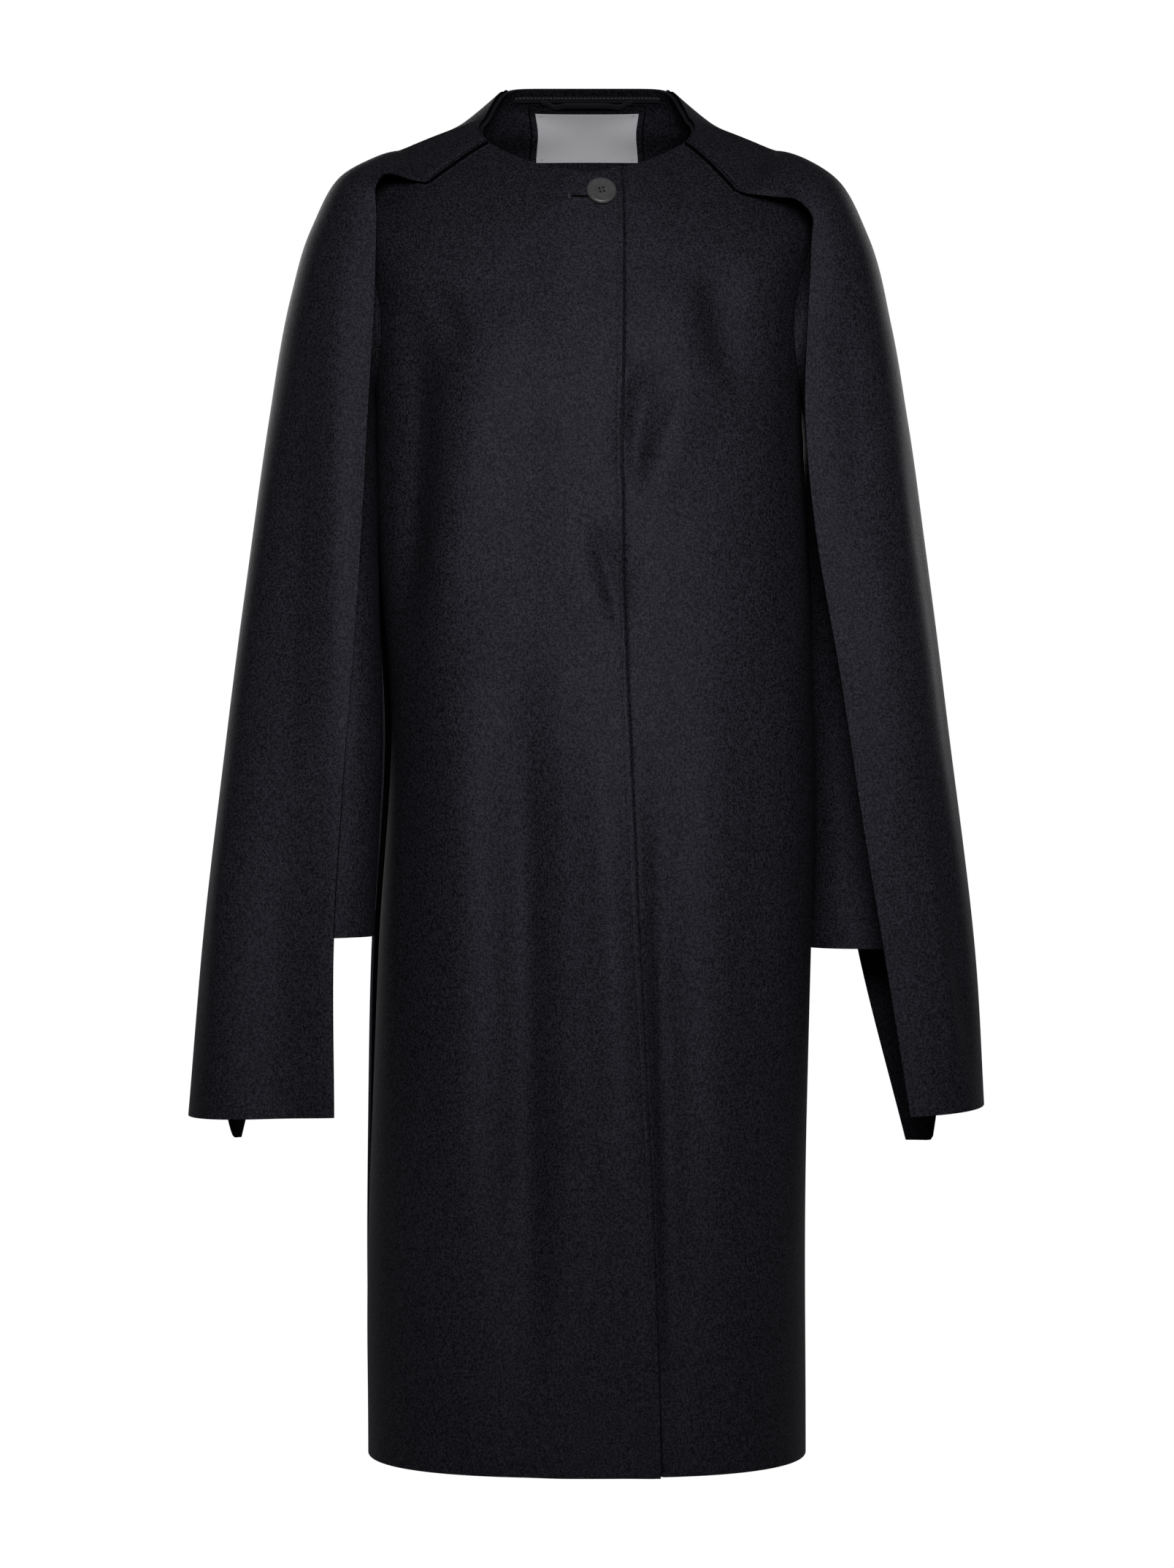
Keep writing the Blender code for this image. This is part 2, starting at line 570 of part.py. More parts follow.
def hanger_loop(name):
    """A narrow strap sewn down at both ends and standing off the neck between, with two dips."""
    across = np.linspace(-LOOP_HALF_LENGTH, LOOP_HALF_LENGTH, 17)
    place = np.abs(across) / LOOP_HALF_LENGTH
    stand = LOOP_STAND * (1 - step_up(0.35, 0.90, place))
    dip = LOOP_DIP * np.exp(-(((place - 0.70) / 0.16) ** 2))
    start = CLOTH + TRIM_GAP + TAPE_THICK + LAP_GAP
    near, far = [], []
    for low in (LOOP_HEIGHT, 0):
        places = list(zip(across, LOOP_TOP + dip + low, start + stand))
        near.append([back_neck_point(a, d, inward) for a, d, inward in places])
        far.append([back_neck_point(a, d, inward + LOOP_THICK) for a, d, inward in places])
    return loft_wall(name, np.array(near), np.array(far), TAPE)


def button(name):
    """A turned button with a low dish and four drilled holes, standing on the right front."""
    levels = np.linspace(LEVEL["shoulder_end"], TOP_LEVEL, 80)
    heights = np.array([base_points(0.0, level)[2] for level in levels])
    level = float(np.interp(BUTTON_Z, heights, levels))
    share = np.array([share_of(BUTTON_X, level)])
    seat = body_sheet(share, level, np.array([CLOTH + TRIM_GAP + BUTTON_LIFT]))[0]
    facing = base_normals(share, level)[0]

    # Down the outer side, from the middle of the face to the middle of the back
    profile = [
        (0.0, BUTTON_THICK - BUTTON_DISH),
        (BUTTON_RADIUS - 0.0045, BUTTON_THICK - BUTTON_DISH * 0.6),
        (BUTTON_RADIUS - 0.0018, BUTTON_THICK),
        (BUTTON_RADIUS - 0.0005, BUTTON_THICK - BUTTON_RIM_DROP),
        (BUTTON_RADIUS, BUTTON_THICK * 0.55),
        (BUTTON_RADIUS - 0.0003, BUTTON_THICK * 0.30),
        (BUTTON_RADIUS - 0.0016, 0.0),
        (0.0, 0.0),
    ]
    mesh = bpy.data.meshes.new(name)
    corners = [(radius, 0, height) for radius, height in profile]
    mesh.from_pydata(corners, [(k, k + 1) for k in range(len(corners) - 1)], [])
    obj = new_object(name, mesh, PLASTIC)
    turn = obj.modifiers.new("turned", "SCREW")
    turn.steps = turn.render_steps = 32
    turn.use_merge_vertices = True
    turn.merge_threshold = 0.0001

    drills = bmesh.new()
    for k in range(4):
        angle = math.radians(45 + BUTTON_TURN + 90 * k)
        offset = Vector((math.cos(angle), math.sin(angle), 0)) * BUTTON_HOLE_SPACING / math.sqrt(2)
        bmesh.ops.create_cone(
            drills,
            cap_ends=True,
            segments=10,
            radius1=BUTTON_HOLE,
            radius2=BUTTON_HOLE,
            depth=4 * BUTTON_THICK,
            matrix=Matrix.Translation(offset),
        )
    drill_mesh = bpy.data.meshes.new("button_drills")
    drills.to_mesh(drill_mesh)
    drills.free()
    cutter = bpy.data.objects.new("button_drills", drill_mesh)
    CUTTERS.objects.link(cutter)
    cutter.hide_render = True
    cutter.display_type = "WIRE"
    cutter.parent = ORIGIN
    cut = obj.modifiers.new("holes", "BOOLEAN")
    cut.operation = "DIFFERENCE"
    cut.solver = "EXACT"
    cut.object = cutter

    frame = Vector(facing).to_track_quat("Z", "Y")
    for thing in (obj, cutter):
        thing.location = seat
        thing.rotation_mode = "QUATERNION"
        thing.rotation_quaternion = frame
    return obj


def new_material(name, colour, roughness):
    material = bpy.data.materials.new(name)
    material.use_nodes = True
    shader = material.node_tree.nodes["Principled BSDF"]
    shader.inputs["Base Color"].default_value = (*colour, 1)
    shader.inputs["Roughness"].default_value = roughness
    return material


for startup in list(bpy.data.objects):
    bpy.data.objects.remove(startup)
COAT = bpy.data.collections.new("scarf_coat")
CUTTERS = bpy.data.collections.new("cutters")
for collection in (COAT, CUTTERS):
    bpy.context.scene.collection.children.link(collection)
ORIGIN = bpy.data.objects.new("coat_origin", None)
COAT.objects.link(ORIGIN)
WOOL = new_material("pressed_wool", (0.020, 0.019, 0.024), 0.95)
TAPE = new_material("neck_tape", (0.030, 0.030, 0.036), 0.60)
GREY = new_material("label_cloth", (0.74, 0.74, 0.77), 0.80)
PLASTIC = new_material("button_plastic", (0.040, 0.039, 0.041), 0.35)

front_panel("front_right", RIGHT)
front_panel("front_left", LEFT)
back_panel("back")
sleeve("sleeve_right", RIGHT)
sleeve("sleeve_left", LEFT)
scarf("scarf_right", RIGHT)
scarf("scarf_left", LEFT)
button("button")

TAPE_DEPTH = CLOTH + TRIM_GAP
LABEL_DEPTH = CLOTH + TRIM_GAP + PATCH_THICK + LAP_GAP
inner_trim("neck_tape", TAPE_HALF_LENGTH, TAPE_TOP, TAPE_HEIGHT, TAPE_DEPTH, TAPE_THICK, TAPE, 16, 2)
inner_trim("neck_patch", PATCH_HALF_WIDTH, PATCH_TOP, PATCH_HEIGHT, TAPE_DEPTH, PATCH_THICK, WOOL, 14, 8)
inner_trim("label", LABEL_HALF_WIDTH, LABEL_TOP, LABEL_HEIGHT, LABEL_DEPTH, LABEL_THICK, GREY, 12, 6)
hanger_loop("hanger_loop")
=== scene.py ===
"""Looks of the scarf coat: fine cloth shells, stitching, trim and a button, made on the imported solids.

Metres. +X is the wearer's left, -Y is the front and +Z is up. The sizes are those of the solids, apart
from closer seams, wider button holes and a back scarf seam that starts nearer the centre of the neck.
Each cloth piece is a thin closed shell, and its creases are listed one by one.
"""

import json
import math
from collections import namedtuple
from functools import lru_cache

import bmesh
import bpy
import numpy as np
from mathutils import Matrix, Vector

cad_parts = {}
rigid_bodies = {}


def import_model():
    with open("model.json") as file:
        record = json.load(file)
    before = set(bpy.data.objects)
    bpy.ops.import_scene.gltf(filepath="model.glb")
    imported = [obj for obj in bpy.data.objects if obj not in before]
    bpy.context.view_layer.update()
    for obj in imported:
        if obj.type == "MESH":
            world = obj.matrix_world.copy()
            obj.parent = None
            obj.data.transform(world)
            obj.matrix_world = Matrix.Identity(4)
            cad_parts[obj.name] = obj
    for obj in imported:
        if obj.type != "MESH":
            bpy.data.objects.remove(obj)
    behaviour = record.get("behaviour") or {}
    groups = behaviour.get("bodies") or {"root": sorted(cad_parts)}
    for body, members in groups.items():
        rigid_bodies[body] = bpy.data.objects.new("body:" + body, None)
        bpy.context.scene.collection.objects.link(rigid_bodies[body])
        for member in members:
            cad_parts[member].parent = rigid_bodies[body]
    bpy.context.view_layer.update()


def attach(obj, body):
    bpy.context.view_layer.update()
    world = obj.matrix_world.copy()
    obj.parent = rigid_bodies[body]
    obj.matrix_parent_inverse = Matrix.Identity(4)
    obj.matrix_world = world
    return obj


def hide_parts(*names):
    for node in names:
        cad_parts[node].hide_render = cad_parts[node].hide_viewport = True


for startup in list(bpy.data.objects):
    bpy.data.objects.remove(startup)
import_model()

# Cloth
CLOTH = 0.0022
SEAM_GAP = 0.00005
LAP_GAP = 0.0005
TRIM_GAP = 0.0011
ARMHOLE_GAP = 0.0010
EDGE_ROUND = 0.0006
EDGE_ANGLE = 55
EDGE_SHARE = 0.3
RIGHT, LEFT = -1, 1
SIDE_NAME = {RIGHT: "right", LEFT: "left"}

# Body: rings from the hem to the neck, each level or tilted
Ring = namedtuple(
    "Ring",
    "name half_width front_depth back_depth front_z side_z back_z front_square back_square"
    " front_bulge back_taper",
)
BODY_RINGS = [
    Ring("hem", 0.1800, 0.135, 0.125, -1.066, -1.066, -1.066, 2.5, 2.5, 0, 0),
    Ring("low_hip", 0.1805, 0.134, 0.125, -0.850, -0.850, -0.850, 2.5, 2.5, 0, 0),
    Ring("wrist", 0.1800, 0.132, 0.123, -0.650, -0.650, -0.650, 2.5, 2.5, 0, 0),
    Ring("waist", 0.1760, 0.130, 0.119, -0.450, -0.450, -0.450, 2.5, 2.5, 0, 0),
    Ring("bust", 0.1745, 0.130, 0.119, -0.300, -0.300, -0.300, 2.5, 2.5, 0, 0),
    Ring("underarm", 0.1735, 0.127, 0.119, -0.215, -0.205, -0.215, 2.4, 2.4, 0, 0),
    Ring("upper_chest", 0.1800, 0.122, 0.118, -0.168, -0.115, -0.150, 2.2, 2.3, 0, 0),
    Ring("shoulder_end", 0.1845, 0.114, 0.114, -0.130, -0.029, -0.088, 2.0, 2.2, 0, 0),
    Ring("shoulder", 0.1645, 0.108, 0.108, -0.104, -0.009, -0.042, 2.0, 2.2, 0, 0),
    Ring("sewn_end", 0.1410, 0.102, 0.099, -0.081, 0.002, -0.002, 2.0, 2.4, 0, 0),
    Ring("neck_base", 0.1028, 0.092, 0.080, -0.050, 0.0168, 0.0425, 1.75, 3.4, 0.08, 0.06),
    Ring("neck", 0.0820, 0.085, 0.062, -0.0345, 0.0240, 0.062, 1.5, 10.0, 0.18, 0.155),
]
RING_SAMPLES = 481
SIDE_LEAN = 0.05
SIDE_LEAN_Z = -0.49
SIDE_LEAN_SPAN = 0.14
NORMAL_STEP_AROUND = 0.012
NORMAL_STEP_UP = 0.004
NORMAL_STEP_IN = 0.001

# Front edges, as the distance right or left of the centre line
OVER_EDGE_AT_NECK = 0.0285
OVER_EDGE_AT_BUST = 0.0270
OVER_EDGE_AT_HEM = 0.0575
OVER_EDGE_NECK_Z = -0.03
OVER_EDGE_BUST_Z = -0.30
OVER_EDGE_HEM_Z = -1.10
UNDER_EDGE = -0.008
LAP_RAMP = 0.045
LAP_LIFT = 0.0026
LAP_LIFT_WIDTH = 0.030
LAP_LIFT_Z = (-0.45, -0.95)
LAP_RAMP_START = 0.15

# Scarf seam on the body, as a share of the way from the side to the centre front or back
FRONT_SEAM_SHARE = {RIGHT: (0.41, 0.44), LEFT: (0.42, 0.54)}
BACK_SEAM_SHARE = (0.95, 0.50)
SCARF_NECK_INSET = 0.0015
SEAM_DIP_RISE = (-0.006, 0.004)

# Armhole
ARMHOLE_FRONT = 0.058
ARMHOLE_BACK = 0.066

# Sleeve: the outer and the inner line of the arm, x outwards from the centre of the coat
Sleeve = namedtuple("Sleeve", "outer_x outer_z inner_x inner_z half_depth square")
SLEEVE_ROWS = [
    Sleeve(0.2050, -0.044, 0.1785, -0.214, 0.0690, 2.0),
    Sleeve(0.2270, -0.085, 0.1805, -0.236, 0.0670, 2.0),
    Sleeve(0.2420, -0.150, 0.1810, -0.268, 0.0640, 2.1),
    Sleeve(0.2540, -0.235, 0.1825, -0.320, 0.0600, 2.2),
    Sleeve(0.2650, -0.340, 0.1840, -0.400, 0.0560, 2.2),
    Sleeve(0.2740, -0.460, 0.1870, -0.490, 0.0520, 2.2),
    Sleeve(0.2800, -0.560, 0.1870, -0.570, 0.0500, 2.2),
    Sleeve(0.2800, -0.651, 0.1840, -0.651, 0.0480, 2.2),
]
SLEEVE_TOP_Z = -0.12
SLEEVE_HEM_Z = -0.651
SLEEVE_CALM = 0.06
WRIST_FORWARD = {RIGHT: 0.078, LEFT: -0.042}
FORWARD_POWER = {RIGHT: 0.85, LEFT: 0.5}
SLEEVE_STRETCH = {RIGHT: 0.984, LEFT: 1.010}
ELBOW_PLACES = (0.0, 0.50, 0.72, 1.0)
ELBOW_IN = {RIGHT: (0.0, 0.0150, 0.0225, 0.0140), LEFT: (0.0, 0.0030, 0.0030, 0.0)}

# Scarf: stations from the end of the seam down the arm, by front edge, outer fold and back edge.
# Its free end steps down to a longer back flap, part of the way from the fold to the back edge.
FLAP_STEP = {RIGHT: (0.50, 0.80), LEFT: (0.50, 0.62)}
FLAP_Z = (-0.50, -0.78)
Station = namedtuple(
    "Station",
    "front_x front_y front_z outer_x outer_y outer_z back_x back_y back_z front_square back_square",
)
SCARF_STATIONS = {
    RIGHT: [
        Station(0.1385, -0.046, -0.033, 0.1580, 0.002, -0.0017, 0.147, 0.056, -0.012, 2.0, 2.2),
        Station(0.1600, -0.064, -0.030, 0.1820, 0.003, -0.0125, 0.164, 0.072, -0.030, 2.3, 2.2),
        Station(0.1680, -0.079, -0.041, 0.2040, 0.002, -0.0275, 0.172, 0.082, -0.052, 2.4, 2.3),
        Station(0.1680, -0.084, -0.070, 0.2260, 0.000, -0.069, 0.173, 0.087, -0.082, 2.5, 2.4),
        Station(0.1690, -0.090, -0.129, 0.2412, -0.004, -0.123, 0.173, 0.089, -0.134, 2.5, 2.4),
        Station(0.1735, -0.099, -0.223, 0.2592, -0.012, -0.225, 0.174, 0.088, -0.228, 2.5, 2.4),
        Station(0.1815, -0.112, -0.380, 0.2808, -0.024, -0.378, 0.183, 0.082, -0.382, 2.5, 2.4),
        Station(0.1920, -0.127, -0.525, 0.2966, -0.036, -0.525, 0.214, 0.072, -0.530, 2.5, 2.3),
        Station(0.1985, -0.137, -0.640, 0.3103, -0.045, -0.643, 0.250, 0.062, -0.652, 2.5, 2.2),
        Station(0.1980, -0.141, -0.7825, 0.3218, -0.050, -0.787, 0.2885, 0.050, -0.816, 2.5, 2.2),
    ],
    LEFT: [
        Station(0.1500, -0.064, -0.049, 0.1600, 0.002, -0.0025, 0.149, 0.056, -0.014, 2.1, 2.2),
        Station(0.1670, -0.076, -0.053, 0.1840, 0.003, -0.0127, 0.165, 0.073, -0.032, 2.3, 2.2),
        Station(0.1785, -0.083, -0.065, 0.2060, 0.002, -0.0290, 0.173, 0.083, -0.054, 2.4, 2.3),
        Station(0.1790, -0.086, -0.088, 0.2300, 0.001, -0.0725, 0.174, 0.089, -0.086, 2.5, 2.4),
        Station(0.1755, -0.089, -0.158, 0.2508, 0.003, -0.147, 0.175, 0.093, -0.154, 2.5, 2.4),
        Station(0.1735, -0.093, -0.223, 0.2643, 0.006, -0.225, 0.177, 0.097, -0.228, 2.5, 2.4),
        Station(0.1810, -0.098, -0.316, 0.2775, 0.010, -0.320, 0.183, 0.101, -0.322, 2.5, 2.4),
        Station(0.2005, -0.100, -0.432, 0.2916, 0.014, -0.430, 0.195, 0.104, -0.432, 2.5, 2.4),
        Station(0.2220, -0.098, -0.571, 0.3093, 0.017, -0.570, 0.214, 0.104, -0.575, 2.5, 2.3),
        Station(0.2360, -0.094, -0.653, 0.3186, 0.018, -0.655, 0.2305, 0.101, -0.664, 2.5, 2.3),
        Station(0.2580, -0.088, -0.787, 0.3264, 0.018, -0.783, 0.2695, 0.088, -0.822, 2.5, 2.3),
    ],
}
STATION_COLUMNS = 40
YOKE_KEY_ROWS = 24

# Long folds of the body: x from the centre at the top and the foot, height range, half width and depth.
# A depth below 0 makes a ridge.
Fold = namedtuple("Fold", "face top_x foot_x top_z foot_z half_width depth")
BODY_FOLDS = [
    Fold("front", -0.056, -0.046, -0.40, -1.00, 0.026, 0.0080),
    Fold("front", -0.146, -0.164, -0.10, -0.95, 0.034, 0.0090),
    Fold("front", 0.018, 0.034, -0.42, -1.00, 0.040, -0.0070),
    Fold("front", 0.054, 0.070, -0.56, -1.06, 0.018, 0.0045),
    Fold("front", 0.064, 0.040, -0.19, -0.30, 0.020, 0.0045),
    Fold("front", 0.138, 0.142, -0.30, -0.90, 0.026, 0.0020),
    Fold("back", -0.085, -0.095, -0.22, -1.00, 0.030, 0.0055),
    Fold("back", 0.020, 0.012, -0.35, -1.02, 0.030, 0.0050),
    Fold("back", 0.098, 0.104, -0.20, -0.96, 0.028, 0.0055),
]
FOLD_START = (-0.05, 0.30)
FOLD_END = (0.65, 1.05)

# Creases: soft troughs (rise below 0) and ridges along a line that bows a little.
# u and v are x and z on the body, and the distance round the piece and z on sleeves and scarves.
Crease = namedtuple("Crease", "top_u top_v foot_u foot_v bow left_width right_width rise")
# The sides under the arms are filled a little
SIDE_CREASES = [
    Crease(-0.172, -0.150, -0.173, -0.470, 0, 0.012, 0.010, 0.0024),
    Crease(0.172, -0.150, 0.173, -0.470, 0, 0.010, 0.012, 0.0036),
]
FRONT_CREASES = SIDE_CREASES + [
    # The dent beside the front edge, with its sharp side to the left
    Crease(0.002, -0.318, 0.024, -0.404, 0.003, 0.0045, 0.017, -0.0088),
    Crease(-0.012, -0.325, 0.004, -0.405, 0.000, 0.014, 0.007, 0.0022),
    # The hollow right of the front edge, the slanting ridge beyond it and the bulge above
    Crease(0.052, -0.180, 0.036, -0.290, -0.003, 0.014, 0.010, -0.0080),
    Crease(0.084, -0.195, 0.046, -0.305, -0.003, 0.010, 0.022, 0.0062),
    Crease(0.072, -0.110, 0.078, -0.208, 0.000, 0.024, 0.018, 0.0042),
    Crease(0.102, -0.100, 0.126, -0.220, -0.004, 0.015, 0.022, -0.0080),
    # The hollow below the right armhole, its ridge and the drag lines above
    Crease(-0.138, -0.110, -0.158, -0.420, 0.004, 0.012, 0.028, -0.0095),
    Crease(-0.080, -0.130, -0.132, -0.440, 0.004, 0.034, 0.030, 0.0075),
    Crease(-0.126, -0.118, -0.100, -0.186, 0.004, 0.014, 0.010, -0.0040),
    Crease(-0.064, -0.130, -0.058, -0.250, 0.003, 0.026, 0.022, 0.0022),
    # The fall of the skirt
    Crease(0.006, -0.450, 0.030, -0.880, 0.003, 0.018, 0.012, 0.0050),
    Crease(0.052, -0.500, 0.068, -1.060, 0.002, 0.009, 0.016, -0.0074),
    Crease(0.098, -0.400, 0.108, -0.920, -0.004, 0.022, 0.026, 0.0045),
    Crease(-0.056, -0.410, -0.048, -1.000, 0.003, 0.020, 0.018, -0.0068),
    Crease(-0.100, -0.400, -0.092, -0.920, 0.005, 0.022, 0.022, 0.0040),
    Crease(-0.070, -0.700, -0.052, -1.040, 0.003, 0.018, 0.022, -0.0022),
]
BACK_CREASES = SIDE_CREASES + [
    Crease(-0.110, -0.100, -0.070, -0.220, 0.005, 0.014, 0.018, -0.0030),
    Crease(0.112, -0.105, 0.082, -0.215, -0.005, 0.018, 0.014, -0.0030),
    Crease(-0.042, -0.060, -0.030, -0.240, 0.003, 0.030, 0.026, 0.0020),
    Crease(0.052, -0.070, 0.040, -0.260, -0.003, 0.026, 0.030, 0.0020),
    Crease(-0.030, -0.380, -0.044, -0.960, 0.004, 0.026, 0.022, 0.0026),
    Crease(0.058, -0.340, 0.066, -0.900, -0.004, 0.024, 0.026, 0.0026),
    Crease(0.004, -0.180, -0.020, -0.330, 0.004, 0.012, 0.018, -0.0024),
    Crease(-0.128, -0.480, -0.120, -1.020, 0.003, 0.018, 0.014, -0.0022),
]
SLEEVE_CREASES = {
    RIGHT: [
        Crease(0.070, -0.280, 0.120, -0.400, 0.004, 0.012, 0.018, -0.0030),
        Crease(0.128, -0.330, 0.085, -0.520, -0.005, 0.016, 0.012, -0.0032),
        Crease(0.060, -0.470, 0.105, -0.610, 0.004, 0.014, 0.018, -0.0026),
        Crease(0.215, -0.300, 0.180, -0.420, 0.004, 0.014, 0.018, -0.0030),
        Crease(0.190, -0.430, 0.225, -0.590, -0.004, 0.018, 0.014, -0.0028),
    ],
    LEFT: [
        Crease(0.062, -0.290, 0.112, -0.410, 0.005, 0.016, 0.012, -0.0030),
        Crease(0.120, -0.360, 0.078, -0.540, -0.004, 0.014, 0.020, -0.0032),
        Crease(0.075, -0.520, 0.098, -0.640, 0.003, 0.012, 0.016, -0.0026),
        Crease(0.210, -0.310, 0.178, -0.440, 0.004, 0.018, 0.014, -0.0030),
        Crease(0.185, -0.440, 0.220, -0.600, -0.004, 0.014, 0.018, -0.0028),
    ],
}
SCARF_CREASES = {
    RIGHT: [
        Crease(0.028, -0.060, 0.004, -0.540, 0.003, 0.022, 0.016, 0.0070),
        Crease(0.068, -0.120, 0.044, -0.600, 0.004, 0.022, 0.042, -0.0090),
        Crease(-0.004, -0.440, -0.002, -0.900, 0.002, 0.014, 0.022, 0.0060),
        Crease(0.048, -0.500, 0.052, -0.920, -0.003, 0.034, 0.030, -0.0100),
        Crease(0.108, -0.480, 0.100, -0.860, -0.004, 0.024, 0.020, 0.0030),
        Crease(0.165, -0.180, 0.170, -0.560, -0.004, 0.020, 0.024, -0.0030),
        Crease(0.205, -0.300, 0.196, -0.700, 0.004, 0.022, 0.018, 0.0024),
    ],
    LEFT: [
        Crease(0.030, -0.110, 0.040, -0.330, 0.003, 0.014, 0.018, -0.0028),
        Crease(0.058, -0.300, 0.046, -0.560, -0.004, 0.020, 0.024, 0.0026),
        Crease(0.052, -0.520, 0.046, -0.760, 0.002, 0.007, 0.012, 0.0024),
        Crease(0.072, -0.480, 0.066, -0.780, -0.003, 0.014, 0.018, -0.0032),
        Crease(0.105, -0.200, 0.110, -0.600, 0.004, 0.020, 0.022, -0.0028),
        Crease(0.160, -0.240, 0.168, -0.620, -0.004, 0.022, 0.020, -0.0030),
    ],
}
CREASE_FADE = 0.34
CREASE_OVERRUN = 0.05

# Slight unevenness of the cloth: wave numbers along the axes, phase and height.
# It dies out over the yoke.
Wave = namedtuple("Wave", "x y z phase height")
CLOTH_WAVES = [
    Wave(17, 6, 5, 0.4, 0.0007),
    Wave(-11, 9, 8, 2.1, 0.0006),
    Wave(29, 3, 11, 4.0, 0.0004),
    Wave(7, 14, 19, 1.2, 0.0004),
    Wave(-41, 12, 14, 5.2, 0.0002),
]
EVEN_ABOVE = (-0.14, -0.04)

# Grids: even steps, and the finer places beside an edge that is stitched
FRONT_COLUMNS = {RIGHT: (40, 16), LEFT: (8, 34, 16)}
BACK_COLUMNS = 92
SKIRT_ROWS = 150
ARMHOLE_ROWS = 56
CAP_ROWS = 10
YOKE_ROWS = 36
SLEEVE_COLUMNS = 88
SLEEVE_TUBE_ROWS = 130
SCARF_COLUMNS = 64
SCARF_ROWS = 190
CALM_ROWS = 30
SEWN_ROWS = 2
FRONT_STITCH_INSET = 0.0032
FRONT_EDGE_PLACES = (0.0, 0.0010, 0.0018, 0.0024, 0.0028, 0.0032)
FRONT_EDGE_PLACES += (0.0036, 0.0040, 0.0048, 0.0062, 0.0085, 0.0120)
SEAM_STITCH_INSET = 0.0045
SEAM_EDGE_PLACES = (0.0, 0.0010, 0.0022, 0.0031, 0.0038, 0.0045, 0.0052, 0.0059, 0.0070, 0.0095, 0.0135)
HEM_STITCH_HEIGHT = 0.0235
HEM_PLACES = (0.0, 0.0012, 0.0045, 0.0090, 0.0140, 0.0190, 0.0215)
HEM_PLACES += (0.0225, 0.0230, 0.0235, 0.0240, 0.0245, 0.0258, 0.0285)
HEM_STEP = 0.0020
GROOVE_WIDTH = 0.0008
GROOVE_DEPTH = 0.0005
SEAM_GROOVE_WIDTH = 0.0011
SEAM_GROOVE_DEPTH = 0.0015

# The cloth dips in a narrow line beside an edge that is lapped over it
LINE_PLACES = (-0.0080, -0.0050, -0.0032, -0.0022, -0.0015, -0.0009, -0.0003)
LINE_PLACES += (0.0003, 0.0009, 0.0015, 0.0022, 0.0032, 0.0050, 0.0080)
DIP_WIDTH = 0.0013
LAP_DIP = 0.0034
LAP_DIP_PLACE = 0.0009
SEAM_DIP = 0.0028
SEAM_DIP_PLACE = -0.0007
LINE_CLEARANCE = 0.0140
HEM_BULGE = 0.0007

# Threads: length of a stitch, gap to the next one and radius
Thread = namedtuple("Thread", "length gap radius")
TOPSTITCH = Thread(0.0026, 0.0009, 0.00028)
SEAM_STITCH = Thread(0.0026, 0.0005, 0.00070)
# SEAM_SHADE is a continuous dark cord at the foot of a lapped edge: painted shadow
SEAM_SHADE = Thread(0.0040, 0.0, 0.00060)
TACK_STITCH = Thread(0.0017, 0.0001, 0.00030)
TAPE_ROW = Thread(0.0030, 0.0002, 0.00060)
# A continuous dark cord down each side of the neck patch: painted shadow at the patch's edge
PATCH_SHADE_LINE = Thread(0.0040, 0.0, 0.00070)
LABEL_TACK = Thread(0.0034, 0.0, 0.00024)

# Button
BUTTON_X = 0.0112
BUTTON_Z = -0.0520
BUTTON_RADIUS = 0.0120
BUTTON_THICK = 0.0034
BUTTON_RIM_DROP = 0.0009
BUTTON_DISH = 0.0004
BUTTON_LIFT = 0.0006
BUTTON_HOLE = 0.0010
BUTTON_HOLE_SPACING = 0.0032
BUTTON_TURN = 12
BUTTON_STEPS = 96
BUTTON_SHARP_ANGLE = 40
BUTTON_MERGE = 0.00005

# Buttonhole, left of the button as seen from the front
HOLE_START = 0.0020
HOLE_END = -0.0135
HOLE_Z = -0.0550
HOLE_LIP = 0.0011
HOLE_LENGTH = HOLE_START - HOLE_END
HOLE_THREADS = 22
HOLE_PITCH = HOLE_LENGTH / HOLE_THREADS
# The slit is a near-black cord that paints the shade in the cut
HOLE_SLIT = Thread(HOLE_LENGTH, 0, 0.00085)
HOLE_SLIT_LIFT = 0.0001
HOLE_STITCH = Thread(HOLE_PITCH * 0.95, HOLE_PITCH * 0.02, 0.00042)
TACK_X = HOLE_END - 0.0006
TACK_LENGTH = 0.0050
BAR_ENDS = (HOLE_END - 0.0010, HOLE_END + 0.0026)
BAR_LIFT = 0.0002

# Trim inside the back neck: heights are measured down the centre back from the neck edge
TAPE_TOP = 0.0055
TAPE_HEIGHT = 0.0060
TAPE_HALF_LENGTH = 0.0620
TAPE_THICK = 0.0010
TAPE_DEPTH = CLOTH + TRIM_GAP
TAPE_ROW_DROP = 0.0012
PATCH_TOP = 0.0150
PATCH_HEIGHT = 0.0620
PATCH_HALF_WIDTH = 0.0490
PATCH_THICK = 0.0012
LABEL_TOP = 0.0225
LABEL_HEIGHT = 0.0440
LABEL_HALF_WIDTH = 0.0440
LABEL_THICK = 0.0008
LABEL_DEPTH = TAPE_DEPTH + PATCH_THICK + LAP_GAP
LABEL_TACK_INSET = 0.0030
LOOP_TOP = 0.0075
LOOP_HEIGHT = 0.0050
LOOP_HALF_LENGTH = 0.0385
LOOP_STAND = 0.0050
LOOP_DIP = 0.0040
LOOP_DIP_PLACE = 0.70
LOOP_DIP_WIDTH = 0.16
LOOP_FREE = (0.35, 0.90)
LOOP_CROWN = 0.0004
LOOP_THICK = 0.0012

# Picture: the camera stands level in front of the middle of the coat
PICTURE_WIDTH, PICTURE_HEIGHT = 1608, 2147
FOCAL_PIXELS = 5000
SENSOR = 36.0
CAMERA_PLACE = (0.0, -3.0, -0.5211)
FLOOR_Z = -1.65
FLOOR_RADIUS = 1.90
SURROUND_FILL = 0.11

